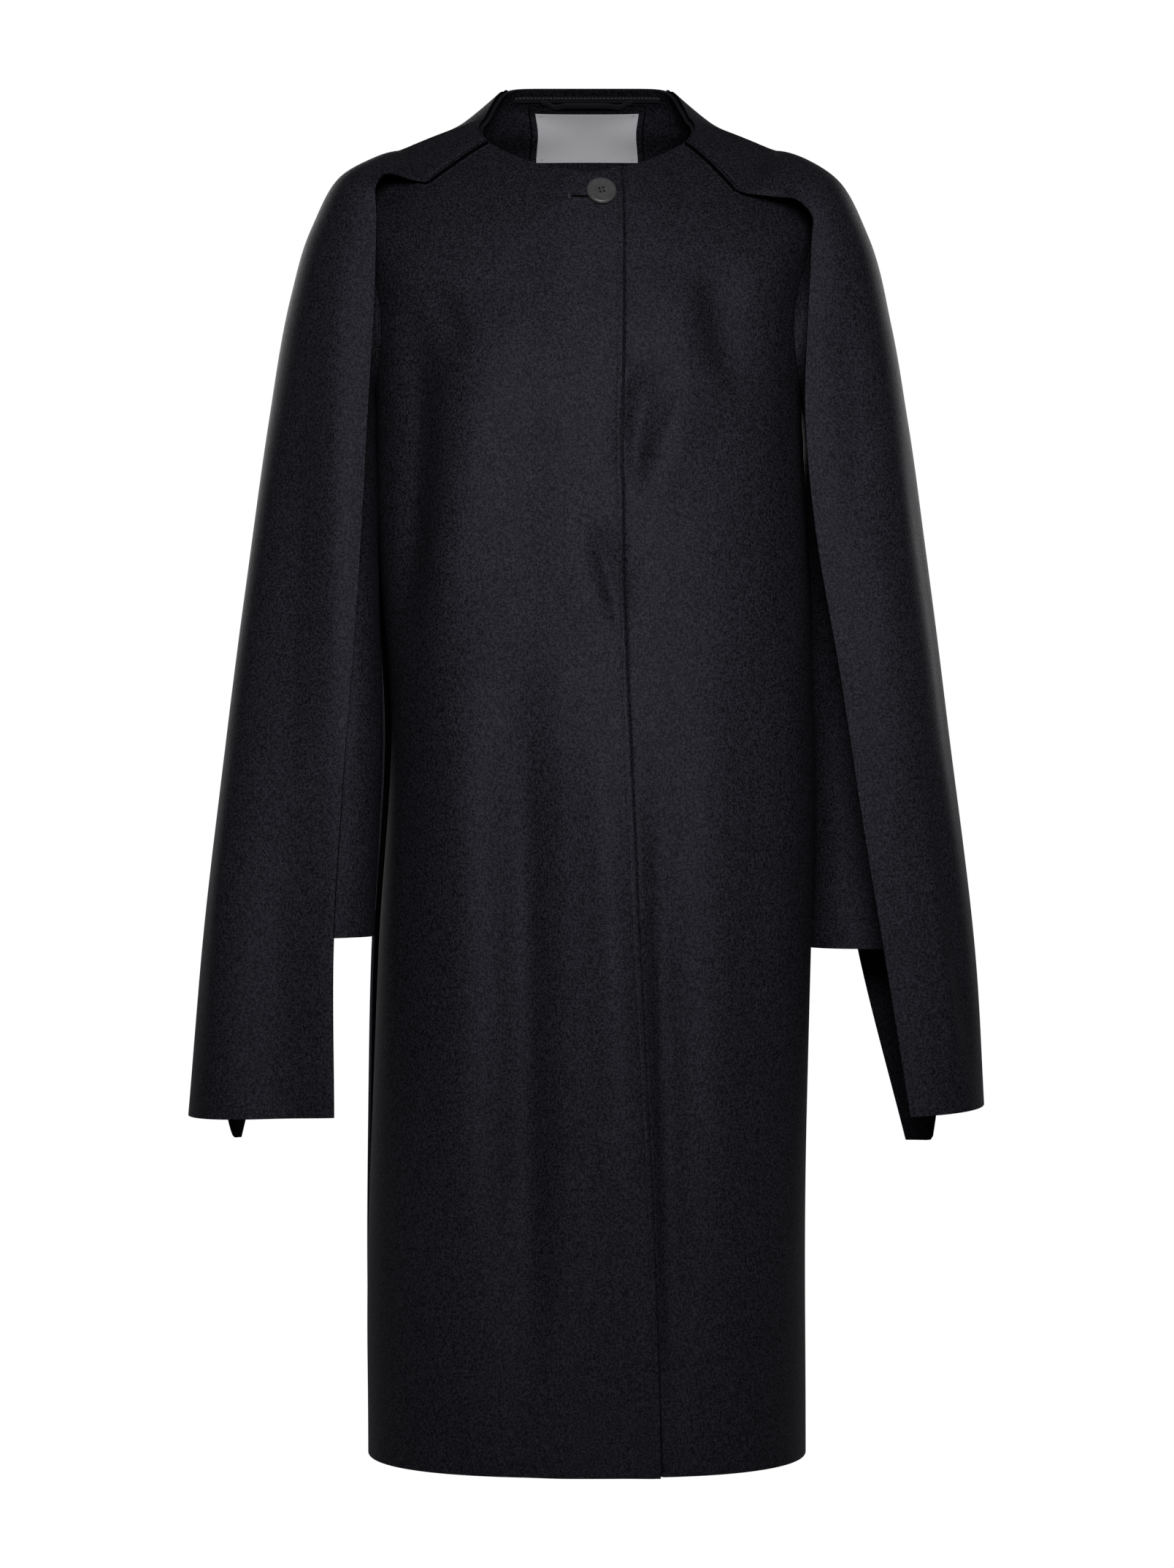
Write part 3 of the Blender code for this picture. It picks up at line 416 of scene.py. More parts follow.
# Round soft lights: place, target, watts, width and spread in degrees
Light = namedtuple("Light", "name place target watts width spread")
LIGHTS = [
    Light("key", (0.12, -2.2, 0.16), (0, -0.10, -0.35), 3.95, 0.7, 52),
    Light("back_fill", (-0.6, 2.6, 0.6), (0, 0, -0.45), 12.0, 1.2, 180),
    Light("fill_right", (-1.4, 2.3, 0.3), (0, 0, -0.45), 20.0, 1.2, 180),
    Light("fill_left", (1.4, 2.3, 0.3), (0, 0, -0.45), 20.0, 1.2, 180),
]


def step_up(low, high, value):
    """0 below low, 1 above high and a smooth rise between."""
    t = np.clip((value - low) / (high - low), 0, 1)
    return t * t * (3 - 2 * t)


def curve_through(knots, rows, at):
    """Rows of numbers read at any place between their knots, on a smooth curve through them."""
    knots = np.asarray(knots, float)
    rows = np.asarray(rows, float)
    at = np.asarray(at, float)
    shape = (-1,) + (1,) * (rows.ndim - 1)
    step = np.diff(knots)
    slope = np.diff(rows, axis=0) / step.reshape(shape)
    tangent = np.empty_like(rows)
    tangent[0], tangent[-1] = slope[0], slope[-1]
    before, after = step[:-1].reshape(shape), step[1:].reshape(shape)
    tangent[1:-1] = (slope[:-1] * after + slope[1:] * before) / (before + after)
    k = np.clip(np.searchsorted(knots, at, side="right") - 1, 0, len(knots) - 2)
    h = step[k].reshape(shape)
    t = ((at - knots[k]) / step[k]).reshape(shape)
    start = rows[k] * (1 + 2 * t) * (1 - t) ** 2 + tangent[k] * h * t * (1 - t) ** 2
    end = rows[k + 1] * t * t * (3 - 2 * t) - tangent[k + 1] * h * t * t * (1 - t)
    return start + end


def unit(vectors):
    return vectors / np.maximum(np.linalg.norm(vectors, axis=-1, keepdims=True), 1e-12)


def run_along(points):
    """Distance along a line of points, from 0."""
    steps = np.linalg.norm(np.diff(points, axis=0), axis=-1)
    return np.concatenate([[0], np.cumsum(steps)])


def read_along(points, run, places):
    """Points of a line read at these places of its run."""
    return np.stack([np.interp(places, run, points[:, k]) for k in range(3)], axis=-1)


RING_VALUES = np.array([ring[1:] for ring in BODY_RINGS])
RING_LEVELS = run_along(RING_VALUES[:, [0, 1, 3, 4]])
LEVEL = {ring.name: level for ring, level in zip(BODY_RINGS, RING_LEVELS)}
TOP_LEVEL = LEVEL["neck"]


@lru_cache(maxsize=None)
def half_ring(level):
    """Half of the body's ring from centre front to centre back.

    Gives the shares of its length, its points, its length and the share at the side.
    """
    values = curve_through(RING_LEVELS, RING_VALUES, [level])[0]
    width, front_depth, back_depth, front_z, side_z, back_z = values[:6]
    front_square, back_square, front_bulge, back_taper = values[6:]
    turn = np.linspace(-math.pi / 2, math.pi / 2, RING_SAMPLES)
    in_front = turn < 0
    power = 2 / np.where(in_front, front_square, back_square)
    share = np.abs(np.sin(turn)) ** power
    fuller = np.where(in_front, 1 + front_bulge * 4 * share * (1 - share), 1 - back_taper * share)
    x = width * np.maximum(np.cos(turn), 0) ** power * fuller
    y = np.where(in_front, -front_depth, back_depth) * share
    z = side_z + (np.where(in_front, front_z, back_z) - side_z) * share
    points = np.stack([x, y, z], axis=1)
    run = run_along(points)
    return run / run[-1], points, run[-1], run[RING_SAMPLES // 2] / run[-1]


def base_points(around, level):
    """Points of the plain body at signed shares around it: 0 is centre front, 1 and -1 centre back."""
    shares, points, _, _ = half_ring(level)
    around = np.asarray(around, float)
    folded = 1 - np.abs(1 - np.abs(around))
    side = np.where(np.abs(around) > 1, -np.sign(around), np.sign(around))
    found = read_along(points, shares, folded)
    lean = SIDE_LEAN * np.exp(-(((found[..., 2] - SIDE_LEAN_Z) / SIDE_LEAN_SPAN) ** 2))
    found[..., 0] *= np.where(side == 0, 1, side) * (1 + side * lean)
    return found


def base_normals(around, level):
    """Outward normals of the plain body."""
    around = np.asarray(around, float)
    low, high = max(level - NORMAL_STEP_UP, 0), min(level + NORMAL_STEP_UP, TOP_LEVEL)
    ahead, behind = around + NORMAL_STEP_AROUND, around - NORMAL_STEP_AROUND
    along = base_points(ahead, level) - base_points(behind, level)
    up = base_points(around, high) - base_points(around, low)
    return unit(np.cross(along, up))


def seam_share(level, y_share, face):
    """The share around the ring at which it stands this far from the side to the front or back."""
    shares, points, _, _ = half_ring(level)
    depth = points[0, 1] if face == "front" else points[-1, 1]
    return float(np.interp(y_share * depth, points[:, 1], shares))


def side_share(level):
    return half_ring(level)[3]


def share_of(distance, level):
    """A distance round the ring from the centre front, as a share of half the ring."""
    return distance / half_ring(level)[2]


def relief(u, v, creases):
    """Height of soft troughs and ridges at places u and v."""
    height = np.zeros_like(u)
    for crease in creases:
        du, dv = u - crease.top_u, v - crease.top_v
        run_u, run_v = crease.foot_u - crease.top_u, crease.foot_v - crease.top_v
        length = math.hypot(run_u, run_v)
        t = (du * run_u + dv * run_v) / length**2
        off = (dv * run_u - du * run_v) / length - crease.bow * 4 * t * (1 - t)
        width = np.where(off < 0, crease.left_width, crease.right_width)
        fade_in = step_up(-CREASE_OVERRUN, CREASE_FADE, t)
        fade_out = 1 - step_up(1 - CREASE_FADE, 1 + CREASE_OVERRUN, t)
        height += crease.rise * np.exp(-((off / width) ** 2)) * fade_in * fade_out
    return height


def unevenness(points):
    """Height of the slight unevenness of pressed cloth."""
    height = np.zeros(points.shape[:-1])
    for wave in CLOTH_WAVES:
        height += wave.height * np.sin(points @ np.array(wave[:3]) + wave.phase)
    return height


def fold_height(points):
    """How far folds and creases move these points of the plain body along its normals."""
    in_front = points[..., 1] < 0
    height = unevenness(points) * (1 - step_up(*EVEN_ABOVE, points[..., 2]))
    for fold in BODY_FOLDS:
        facing = in_front if fold.face == "front" else ~in_front
        down = np.clip((fold.top_z - points[..., 2]) / (fold.top_z - fold.foot_z), -0.2, 1.2)
        middle = fold.top_x + (fold.foot_x - fold.top_x) * down
        across = np.exp(-(((points[..., 0] - middle) / fold.half_width) ** 2))
        length = step_up(*FOLD_START, down) * (1 - step_up(*FOLD_END, down))
        height -= np.where(facing, fold.depth * across * length, 0)
    for creases, facing in ((FRONT_CREASES, in_front), (BACK_CREASES, ~in_front)):
        height += np.where(facing, relief(points[..., 0], points[..., 2], creases), 0)
    return height


def body_sheet(around, level, height):
    """Points at a height above the folded body."""
    points = base_points(around, level)
    return points + base_normals(around, level) * (fold_height(points) + height)[..., None]


def armhole_half_width(level):
    """Half width of the armhole as a share of its widest, which is half way up."""
    place = (level - LEVEL["underarm"]) / (LEVEL["shoulder_end"] - LEVEL["underarm"])
    return math.sqrt(max(0, 1 - (2 * place - 1) ** 2)) if 0 < place < 1 else 0


def panel_edge(level, face):
    """Where the front's or back's outer edge runs: side seam, armhole, then shoulder seam."""
    opening = ARMHOLE_FRONT if face == "front" else -ARMHOLE_BACK
    gap = SEAM_GAP / 2 if face == "front" else -SEAM_GAP / 2
    return side_share(level) - share_of(opening * armhole_half_width(level) + gap, level)


def panel_levels():
    """Levels of the panels' rows from the hem to the neck."""
    half_turn = np.linspace(0, math.pi, ARMHOLE_ROWS + 1)
    skirt = np.linspace(0, LEVEL["underarm"], SKIRT_ROWS + 1)[:-1]
    rise = LEVEL["shoulder_end"] - LEVEL["underarm"]
    armhole = LEVEL["underarm"] + rise * (1 - np.cos(half_turn)) / 2
    cap = np.linspace(LEVEL["shoulder_end"], LEVEL["sewn_end"], CAP_ROWS + 1)[1:-1]
    yoke = np.linspace(LEVEL["sewn_end"], TOP_LEVEL, YOKE_ROWS + 1)
    return np.concatenate([skirt, armhole, cap, yoke])


def seam_line(level, side, face):
    """The scarf seam's share around the ring at this level of the yoke."""
    up = np.clip((level - LEVEL["sewn_end"]) / (TOP_LEVEL - LEVEL["sewn_end"]), 0, 1)
    at_neck, at_end = FRONT_SEAM_SHARE[side] if face == "front" else BACK_SEAM_SHARE
    return seam_share(level, at_end + (at_neck - at_end) * up, face)


def over_edge(level):
    """Distance of the right front's edge past the centre line."""
    z = base_points(0.0, level)[2]
    down = step_up(OVER_EDGE_BUST_Z, OVER_EDGE_HEM_Z, z)
    top = step_up(OVER_EDGE_BUST_Z, OVER_EDGE_NECK_Z, z)
    to_hem = (OVER_EDGE_AT_HEM - OVER_EDGE_AT_BUST) * down
    return OVER_EDGE_AT_BUST + to_hem + (OVER_EDGE_AT_NECK - OVER_EDGE_AT_BUST) * top


def own_normals(sheet, closed, outward):
    """Normals of a sheet of points, turned to the side that the outward vectors point to."""
    if closed:
        along = np.roll(sheet, -1, axis=1) - np.roll(sheet, 1, axis=1)
    else:
        along = np.gradient(sheet, axis=1)
    normals = unit(np.cross(along, np.gradient(sheet, axis=0)))
    return normals * np.sign((normals * outward).sum(axis=-1).mean())


def groove(distance, inset, depth=GROOVE_DEPTH, width=GROOVE_WIDTH):
    """Height, below 0, of the line where stitches or a lapped edge press the cloth in."""
    return -depth * np.exp(-(((distance - inset) / width) ** 2))


def new_object(name, data):
    """An object put into the scene."""
    made = bpy.data.objects.new(name, data)
    bpy.context.scene.collection.objects.link(made)
    return made


def mesh_from(name, shape):
    """A mesh with the faces of a bmesh, which is then freed."""
    mesh = bpy.data.meshes.new(name)
    shape.to_mesh(mesh)
    shape.free()
    return mesh


def new_piece(name, mesh, node=None):
    """An object of the coat that rides on its one body and stands for a node, if one is named."""
    piece = new_object(name, mesh)
    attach(piece, "root")
    if node:
        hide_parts(node)
    return piece


def shell(name, outer, inner, materials, material_slot, node, closed=False):
    """A thin closed shell between two sheets of points, with rounded raw edges."""
    rows, columns = outer.shape[:2]
    index = np.arange(2 * rows * columns).reshape(2, rows, columns)
    if closed:
        index = np.concatenate([index, index[:, :, :1]], axis=2)

    def quads(a, b, c, d):
        return np.stack([a, b, c, d], axis=-1).reshape(-1, 4)

    def sheet_quads(grid):
        return quads(grid[:-1, :-1], grid[:-1, 1:], grid[1:, 1:], grid[1:, :-1])

    def rim(first, second):
        return quads(first[:-1], second[:-1], second[1:], first[1:])

    near, far = index
    faces = [sheet_quads(near), sheet_quads(far)[:, ::-1]]
    outer_faces = len(faces[0])
    rims = [rim(near[0], far[0]), rim(far[-1], near[-1])]
    if not closed:
        rims += [rim(far[:, 0], near[:, 0]), rim(near[:, -1], far[:, -1])]
    cloth_faces = sum(len(part) for part in faces)
    faces = np.concatenate(faces + rims)
    middle = rows // 2, columns // 2
    across = outer[middle[0], middle[1] + 1] - outer[middle]
    down = outer[middle[0] + 1, middle[1]] - outer[middle]
    if np.dot(np.cross(across, down), outer[middle] - inner[middle]) < 0:
        faces = faces[:, ::-1]

    mesh = bpy.data.meshes.new(name)
    points = np.concatenate([outer.reshape(-1, 3), inner.reshape(-1, 3)])
    mesh.from_pydata(points.tolist(), [], faces.tolist())
    for material in materials:
        mesh.materials.append(material)
    # Inner faces take the middle material and rims the last one. For the cloth these carry painted shade:
    # the darkened wool of the inside, and the near-black rims of the scarf and the patch.
    finish = np.zeros(len(faces), np.int32)
    finish[outer_faces:cloth_faces] = len(materials) // 2
    finish[cloth_faces:] = len(materials) - 1
    mesh.polygons.foreach_set("material_index", finish)
    mesh.polygons.foreach_set("use_smooth", np.ones(len(faces), bool))
    mesh.update()
    piece = new_piece(name, mesh, node)

    rounded = piece.modifiers.new("raw_edge", "BEVEL")
    rounded.limit_method = "ANGLE"
    rounded.angle_limit = math.radians(EDGE_ANGLE)
    thick = float(np.linalg.norm(outer[middle] - inner[middle]))
    rounded.width = min(EDGE_ROUND, EDGE_SHARE * thick)
    rounded.segments = 2
    rounded.material = len(materials) - 1
    piece.modifiers.new("even_shading", "WEIGHTED_NORMAL")
    return piece


def seam_place(level, side):
    """Distance of the scarf seam from the centre front, carried on below the yoke clear of the edge."""
    length = half_ring(level)[2]
    seam = seam_line(max(level, LEVEL["sewn_end"]), side, "front")
    return min(seam, panel_edge(level, "front") - LINE_CLEARANCE / length) * length


def front_places(level, side):
    """Distances of a front's columns from the centre front, fine beside the edges that lie on it."""
    fine = np.array(LINE_PLACES)
    edge = -over_edge(level) if side == RIGHT else UNDER_EDGE
    runs = [edge + np.array(FRONT_EDGE_PLACES)]
    if side == LEFT:
        runs.append(over_edge(level) + fine)
    runs.append(seam_place(level, side) + fine)
    runs.append(np.array([panel_edge(level, "front") * half_ring(level)[2]]))
    places = [runs[0]]
    for run, count in zip(runs[1:], FRONT_COLUMNS[side]):
        between = np.linspace(places[-1][-1], run[0], count + 1)[1:-1]
        places += [between, run]
    return np.concatenate(places)


def front_sheets(side):
    """Outer and inner sheets of a front. The right one reaches over the left one and lies on it."""
    outer, inner = [], []
    for level in panel_levels():
        places = front_places(level, side)
        columns = share_of(places, level)
        from_edge = places - places[0]
        on_yoke = step_up(*SEAM_DIP_RISE, level - LEVEL["sewn_end"])
        from_seam = places - seam_place(level, side)
        height = groove(from_seam, SEAM_DIP_PLACE, SEAM_DIP * on_yoke, DIP_WIDTH)
        if side == RIGHT:
            under = share_of(-UNDER_EDGE, level)
            ramp = share_of(LAP_RAMP, level)
            on_lap = 1 - step_up(under + LAP_RAMP_START * ramp, under + ramp, columns)
            low = step_up(*LAP_LIFT_Z, base_points(0.0, level)[2])
            loose = LAP_LIFT * low * (1 - step_up(0, LAP_LIFT_WIDTH, from_edge))
            height += (CLOTH + TRIM_GAP) * on_lap + loose
        else:
            height += groove(places - over_edge(level), LAP_DIP_PLACE, LAP_DIP, DIP_WIDTH)
        stitched = groove(from_edge, FRONT_STITCH_INSET)
        outer.append(body_sheet(side * columns, level, height + stitched))
        inner.append(body_sheet(side * columns, level, height - CLOTH))
    return np.array(outer), np.array(inner)


def back_sheets():
    outer, inner = [], []
    for level in panel_levels():
        edge = panel_edge(level, "back")
        columns = np.linspace(edge, 2 - edge, BACK_COLUMNS + 1)
        outer.append(body_sheet(columns, level, np.zeros_like(columns)))
        inner.append(body_sheet(columns, level, np.full_like(columns, -CLOTH)))
    return np.array(outer), np.array(inner)


def armhole_ring(side):
    """The sleeve's first ring, just inside the armhole, from the shoulder end by way of the front."""
    rise = LEVEL["shoulder_end"] - LEVEL["underarm"]
    middle = LEVEL["underarm"] + rise / 2
    ring = []
    for turn in np.linspace(0, 2 * math.pi, SLEEVE_COLUMNS + 1)[:-1]:
        level = middle + (rise / 2 - ARMHOLE_GAP) * math.cos(turn)
        opening = ARMHOLE_FRONT if turn < math.pi else ARMHOLE_BACK
        share = side_share(level) - share_of((opening - ARMHOLE_GAP) * math.sin(turn), level)
        ring.append(body_sheet(np.array([side * share]), level, np.zeros(1))[0])
    return np.array(ring)


def sleeve_section(row, side):
    """A closed section of the sleeve, from the outer line by way of the front."""
    outer = np.array([row.outer_x, 0, row.outer_z])
    inner = np.array([row.inner_x, 0, row.inner_z])
    turn = np.linspace(0, 2 * math.pi, SLEEVE_COLUMNS + 1)[:-1, None]
    power = 2 / row.square
    across = np.sign(np.cos(turn)) * np.abs(np.cos(turn)) ** power
    forward = np.sign(np.sin(turn)) * np.abs(np.sin(turn)) ** power
    depth = np.array([0, row.half_depth, 0])
    points = (outer + inner) / 2 + across * (outer - inner) / 2 - forward * depth
    down = np.clip((SLEEVE_TOP_Z - points[:, 2]) / (SLEEVE_TOP_Z - SLEEVE_HEM_Z), 0, 1)
    points[:, 1] -= WRIST_FORWARD[side] * down ** FORWARD_POWER[side]
    points[:, 0] -= curve_through(ELBOW_PLACES, ELBOW_IN[side], down)
    below = np.minimum(points[:, 2] - SLEEVE_TOP_Z, 0)
    points[:, 2] += below * (SLEEVE_STRETCH[side] - 1)
    points[:, 0] *= side
    return points


def mean_run(rows):
    """Distance down a sheet, averaged over its columns."""
    steps = np.linalg.norm(np.diff(rows, axis=0), axis=2).mean(axis=1)
    return np.concatenate([[0], np.cumsum(steps)])


def sleeve_sheets(side):
    """Outer and inner sheets of a sleeve, with its turned and stitched hem."""
    sections = np.array([armhole_ring(side)] + [sleeve_section(row, side) for row in SLEEVE_ROWS])
    run = mean_run(sections)
    hem = run[-1] - np.array(HEM_PLACES)[::-1]
    places = np.concatenate([np.linspace(0, hem[0], SLEEVE_TUBE_ROWS + 1)[:-1], hem])
    outer = curve_through(run, sections, places)
    outward = outer - outer.mean(axis=1, keepdims=True)
    normals = own_normals(outer, True, outward)
    around = np.array([run_along(ring) for ring in outer])
    above_hem = (run[-1] - places)[:, None]
    in_hem = 1 - step_up(HEM_STITCH_HEIGHT - HEM_STEP, HEM_STITCH_HEIGHT, above_hem)
    free = step_up(0, SLEEVE_CALM, places)[:, None]
    height = (relief(around, outer[..., 2], SLEEVE_CREASES[side]) + unevenness(outer)) * free
    height += groove(above_hem, HEM_STITCH_HEIGHT) + HEM_BULGE * in_hem
    outer = outer + normals * height[..., None]
    normals = own_normals(outer, True, outward)
    return outer, outer - normals * (CLOTH * (1 + in_hem))[..., None]


def scarf_station(station, side):
    """A section of the hanging scarf from its front edge over the outer fold to its back edge."""
    front = np.array([station.front_x, station.front_y, station.front_z])
    fold = np.array([station.outer_x, station.outer_y, station.outer_z])
    back = np.array([station.back_x, station.back_y, station.back_z])
    turn = np.linspace(0, math.pi / 2, STATION_COLUMNS + 1)[:, None]
    flap = step_up(*FLAP_Z, station.outer_z)

    def quarter(edge, square, flap):
        reach = np.sin(turn) ** (2 / square)
        drop = 1 - np.maximum(np.cos(turn), 0) ** (2 / square)
        step = edge - fold
        fall = drop + (step_up(*FLAP_STEP[side], drop) - drop) * flap
        return fold + np.concatenate([drop * step[0], reach * step[1], fall * step[2]], axis=1)

    to_front = quarter(front, station.front_square, 0)
    to_back = quarter(back, station.back_square, flap)
    points = np.concatenate([to_front[::-1], to_back[1:]])
    points[:, 0] *= side
    return points


def scarf_lying(level, side):
    """A section of the scarf where it lies on the yoke, from its front seam to its back seam."""
    middle = side_share(level)
    to_side = np.linspace(seam_line(level, side, "front"), middle, STATION_COLUMNS + 1)
    to_back = np.linspace(middle, seam_line(level, side, "back"), STATION_COLUMNS + 1)
    columns = side * np.concatenate([to_side, to_back[1:]])
    return body_sheet(columns, level, np.full_like(columns, LAP_GAP + CLOTH))


def between_edges(row):
    """A row of points set again at the places beside both edges and evenly between."""
    run = run_along(row)
    beside = np.array(SEAM_EDGE_PLACES)
    middle = np.linspace(beside[-1], run[-1] - beside[-1], SCARF_COLUMNS + 1)[1:-1]
    places = np.concatenate([beside, middle, run[-1] - beside[::-1]])
    return read_along(row, run, places), places


def scarf_sheets(side):
    """Outer and inner sheets of a scarf panel, from its free end over the shoulder to the neck."""
    scarf_top = TOP_LEVEL - SCARF_NECK_INSET
    key_levels = np.linspace(LEVEL["sewn_end"], scarf_top, YOKE_KEY_ROWS + 1)
    lying_keys = [scarf_lying(level, side) for level in key_levels]
    stations = [scarf_station(station, side) for station in SCARF_STATIONS[side]]
    keys = np.array(lying_keys[::-1] + stations)
    run = mean_run(keys)
    places = np.linspace(run[YOKE_KEY_ROWS], run[-1], SCARF_ROWS + 1)
    hanging = curve_through(run, keys, places)[::-1][:-1]
    lying_levels = np.linspace(LEVEL["sewn_end"], scarf_top, YOKE_ROWS + 1)
    lying = np.array([scarf_lying(level, side) for level in lying_levels])
    rows = [between_edges(row) for row in np.concatenate([hanging, lying])]
    outer = np.array([points for points, _ in rows])
    across = np.array([distances for _, distances in rows])

    outward = np.zeros_like(outer)
    outward[..., 0] = side
    outward[..., 2] = 0.5
    normals = own_normals(outer, False, outward)
    above_free = np.arange(len(outer))[:, None] - SCARF_ROWS
    free = 1 - step_up(-CALM_ROWS, 0, above_free)
    sewn = step_up(-SEWN_ROWS, SEWN_ROWS, above_free)
    height = (relief(across, outer[..., 2], SCARF_CREASES[side]) + unevenness(outer)) * free
    outer = outer + normals * height[..., None]
    normals = own_normals(outer, False, outward)
    inner = outer - normals * CLOTH
    from_edge = np.minimum(across, across[:, -1:] - across)
    stitched = groove(from_edge, SEAM_STITCH_INSET, SEAM_GROOVE_DEPTH, SEAM_GROOVE_WIDTH) * sewn
    return outer + normals * stitched[..., None], inner


BACK_NECK_LEVELS = np.linspace(TOP_LEVEL, LEVEL["shoulder_end"], 60)
BACK_NECK_RUN = run_along(np.array([base_points(1.0, level) for level in BACK_NECK_LEVELS]))


def back_neck_points(across, down, depth):
    """A row of points inside the back neck, by place across, down from the edge and in from outside."""
    points = []
    for a, d, inward in np.broadcast(across, down, depth):
        level = float(np.interp(d, BACK_NECK_RUN, BACK_NECK_LEVELS))
        share = np.array([1 - share_of(a, level)])
        points.append(body_sheet(share, level, np.array([-inward]))[0])
    return np.array(points)


def inner_trim(name, half_width, top, height, depth, thick, materials, material_slot, columns, rows):
    """A flat piece inside the back neck, made from the back's points moved in."""
    across = np.linspace(-half_width, half_width, columns + 1)
    heights = np.linspace(top + height, top, rows + 1)
    far = np.array([back_neck_points(across, down, depth) for down in heights])
    near = np.array([back_neck_points(across, down, depth + thick) for down in heights])
    return shell(f"{name}_piece", near, far, materials, material_slot, name)


def hanger_loop(name, materials):
    """A narrow strap sewn down at both ends and standing off the neck between, with two dips."""
    across = np.linspace(-LOOP_HALF_LENGTH, LOOP_HALF_LENGTH, 65)
    place = np.abs(across) / LOOP_HALF_LENGTH
    stand = LOOP_STAND * (1 - step_up(*LOOP_FREE, place))
    dip = LOOP_DIP * np.exp(-(((place - LOOP_DIP_PLACE) / LOOP_DIP_WIDTH) ** 2))
    start = TAPE_DEPTH + TAPE_THICK + LAP_GAP + stand
    near, far = [], []
    for low in np.linspace(LOOP_HEIGHT, 0, 6):
        crown = LOOP_CROWN * math.sin(math.pi * low / LOOP_HEIGHT)
        down = LOOP_TOP + dip + low
        far.append(back_neck_points(across, down, start))
        near.append(back_neck_points(across, down, start + LOOP_THICK + crown))
    return shell(f"{name}_piece", np.array(near), np.array(far), materials, "tape", name)


# Section of one stitch along its length: place, thickness and height over the cloth in thread radii
STITCH_PROFILE = [
    (0.0, 0.35, -0.7),
    (0.18, 0.85, 0.15),
    (0.5, 1.0, 0.5),
    (0.82, 0.85, 0.15),
    (1.0, 0.35, -0.7),
]
STITCH_SIDES = 6


def stitches(name, path, normals, material, thread=TOPSTITCH):
    """A row of separate stitches along a line on the cloth, in one mesh."""
    run = run_along(path)
    count = max(1, int(run[-1] // (thread.length + thread.gap)))
    pitch = run[-1] / count
    turn = np.linspace(0, 2 * math.pi, STITCH_SIDES + 1)[:-1]
    along = np.array([row[0] for row in STITCH_PROFILE])
    points, faces = [], []
    for k in range(count):
        places = (k + 0.5) * pitch + (along - 0.5) * thread.length
        middle = read_along(path, run, places)
        facing = unit(read_along(normals, run, places))
        sideways = unit(np.cross(np.gradient(middle, axis=0), facing))
        for row, centre, up, side in zip(STITCH_PROFILE, middle, facing, sideways):
            ring = np.outer(np.cos(turn), side) + np.outer(np.sin(turn), up)
            points.append(centre + up * row[2] * thread.radius + ring * row[1] * thread.radius)
        first = k * len(STITCH_PROFILE) * STITCH_SIDES
        for section in range(len(STITCH_PROFILE) - 1):
            low = first + section * STITCH_SIDES
            high = low + STITCH_SIDES
            for side in range(STITCH_SIDES):
                after = (side + 1) % STITCH_SIDES
                faces.append([low + side, low + after, high + after, high + side])
        last = first + (len(STITCH_PROFILE) - 1) * STITCH_SIDES
        faces.append([first + side for side in reversed(range(STITCH_SIDES))])
        faces.append([last + side for side in range(STITCH_SIDES)])
    mesh = bpy.data.meshes.new(name)
    mesh.from_pydata(np.concatenate(points).tolist(), [], faces)
    mesh.polygons.foreach_set("use_smooth", np.ones(len(faces), bool))
    mesh.materials.append(material)
    tidy = bmesh.new()
    tidy.from_mesh(mesh)
    bmesh.ops.recalc_face_normals(tidy, faces=tidy.faces)
    tidy.to_mesh(mesh)
    tidy.free()
    return new_piece(name, mesh)


def front_level_at(z):
    """The level whose ring passes the centre front at this height."""
    levels = np.linspace(LEVEL["shoulder_end"], TOP_LEVEL, 80)
    heights = np.array([base_points(0.0, level)[2] for level in levels])
    return float(np.interp(z, heights, levels))


def on_right_front(x, z, height=0.0):
    """A point and the outward normal on the lapped part of the right front, near the neck."""
    level = front_level_at(z)
    share = np.array([share_of(x, level)])
    point = body_sheet(share, level, np.array([CLOTH + TRIM_GAP + height]))[0]
    return point, base_normals(share, level)[0]


def add_cone(mesh, segments, foot, top, depth, place):
    size = {"radius1": foot, "radius2": top, "depth": depth}
    matrix = Matrix.Translation(place)
    bmesh.ops.create_cone(mesh, cap_ends=True, segments=segments, matrix=matrix, **size)


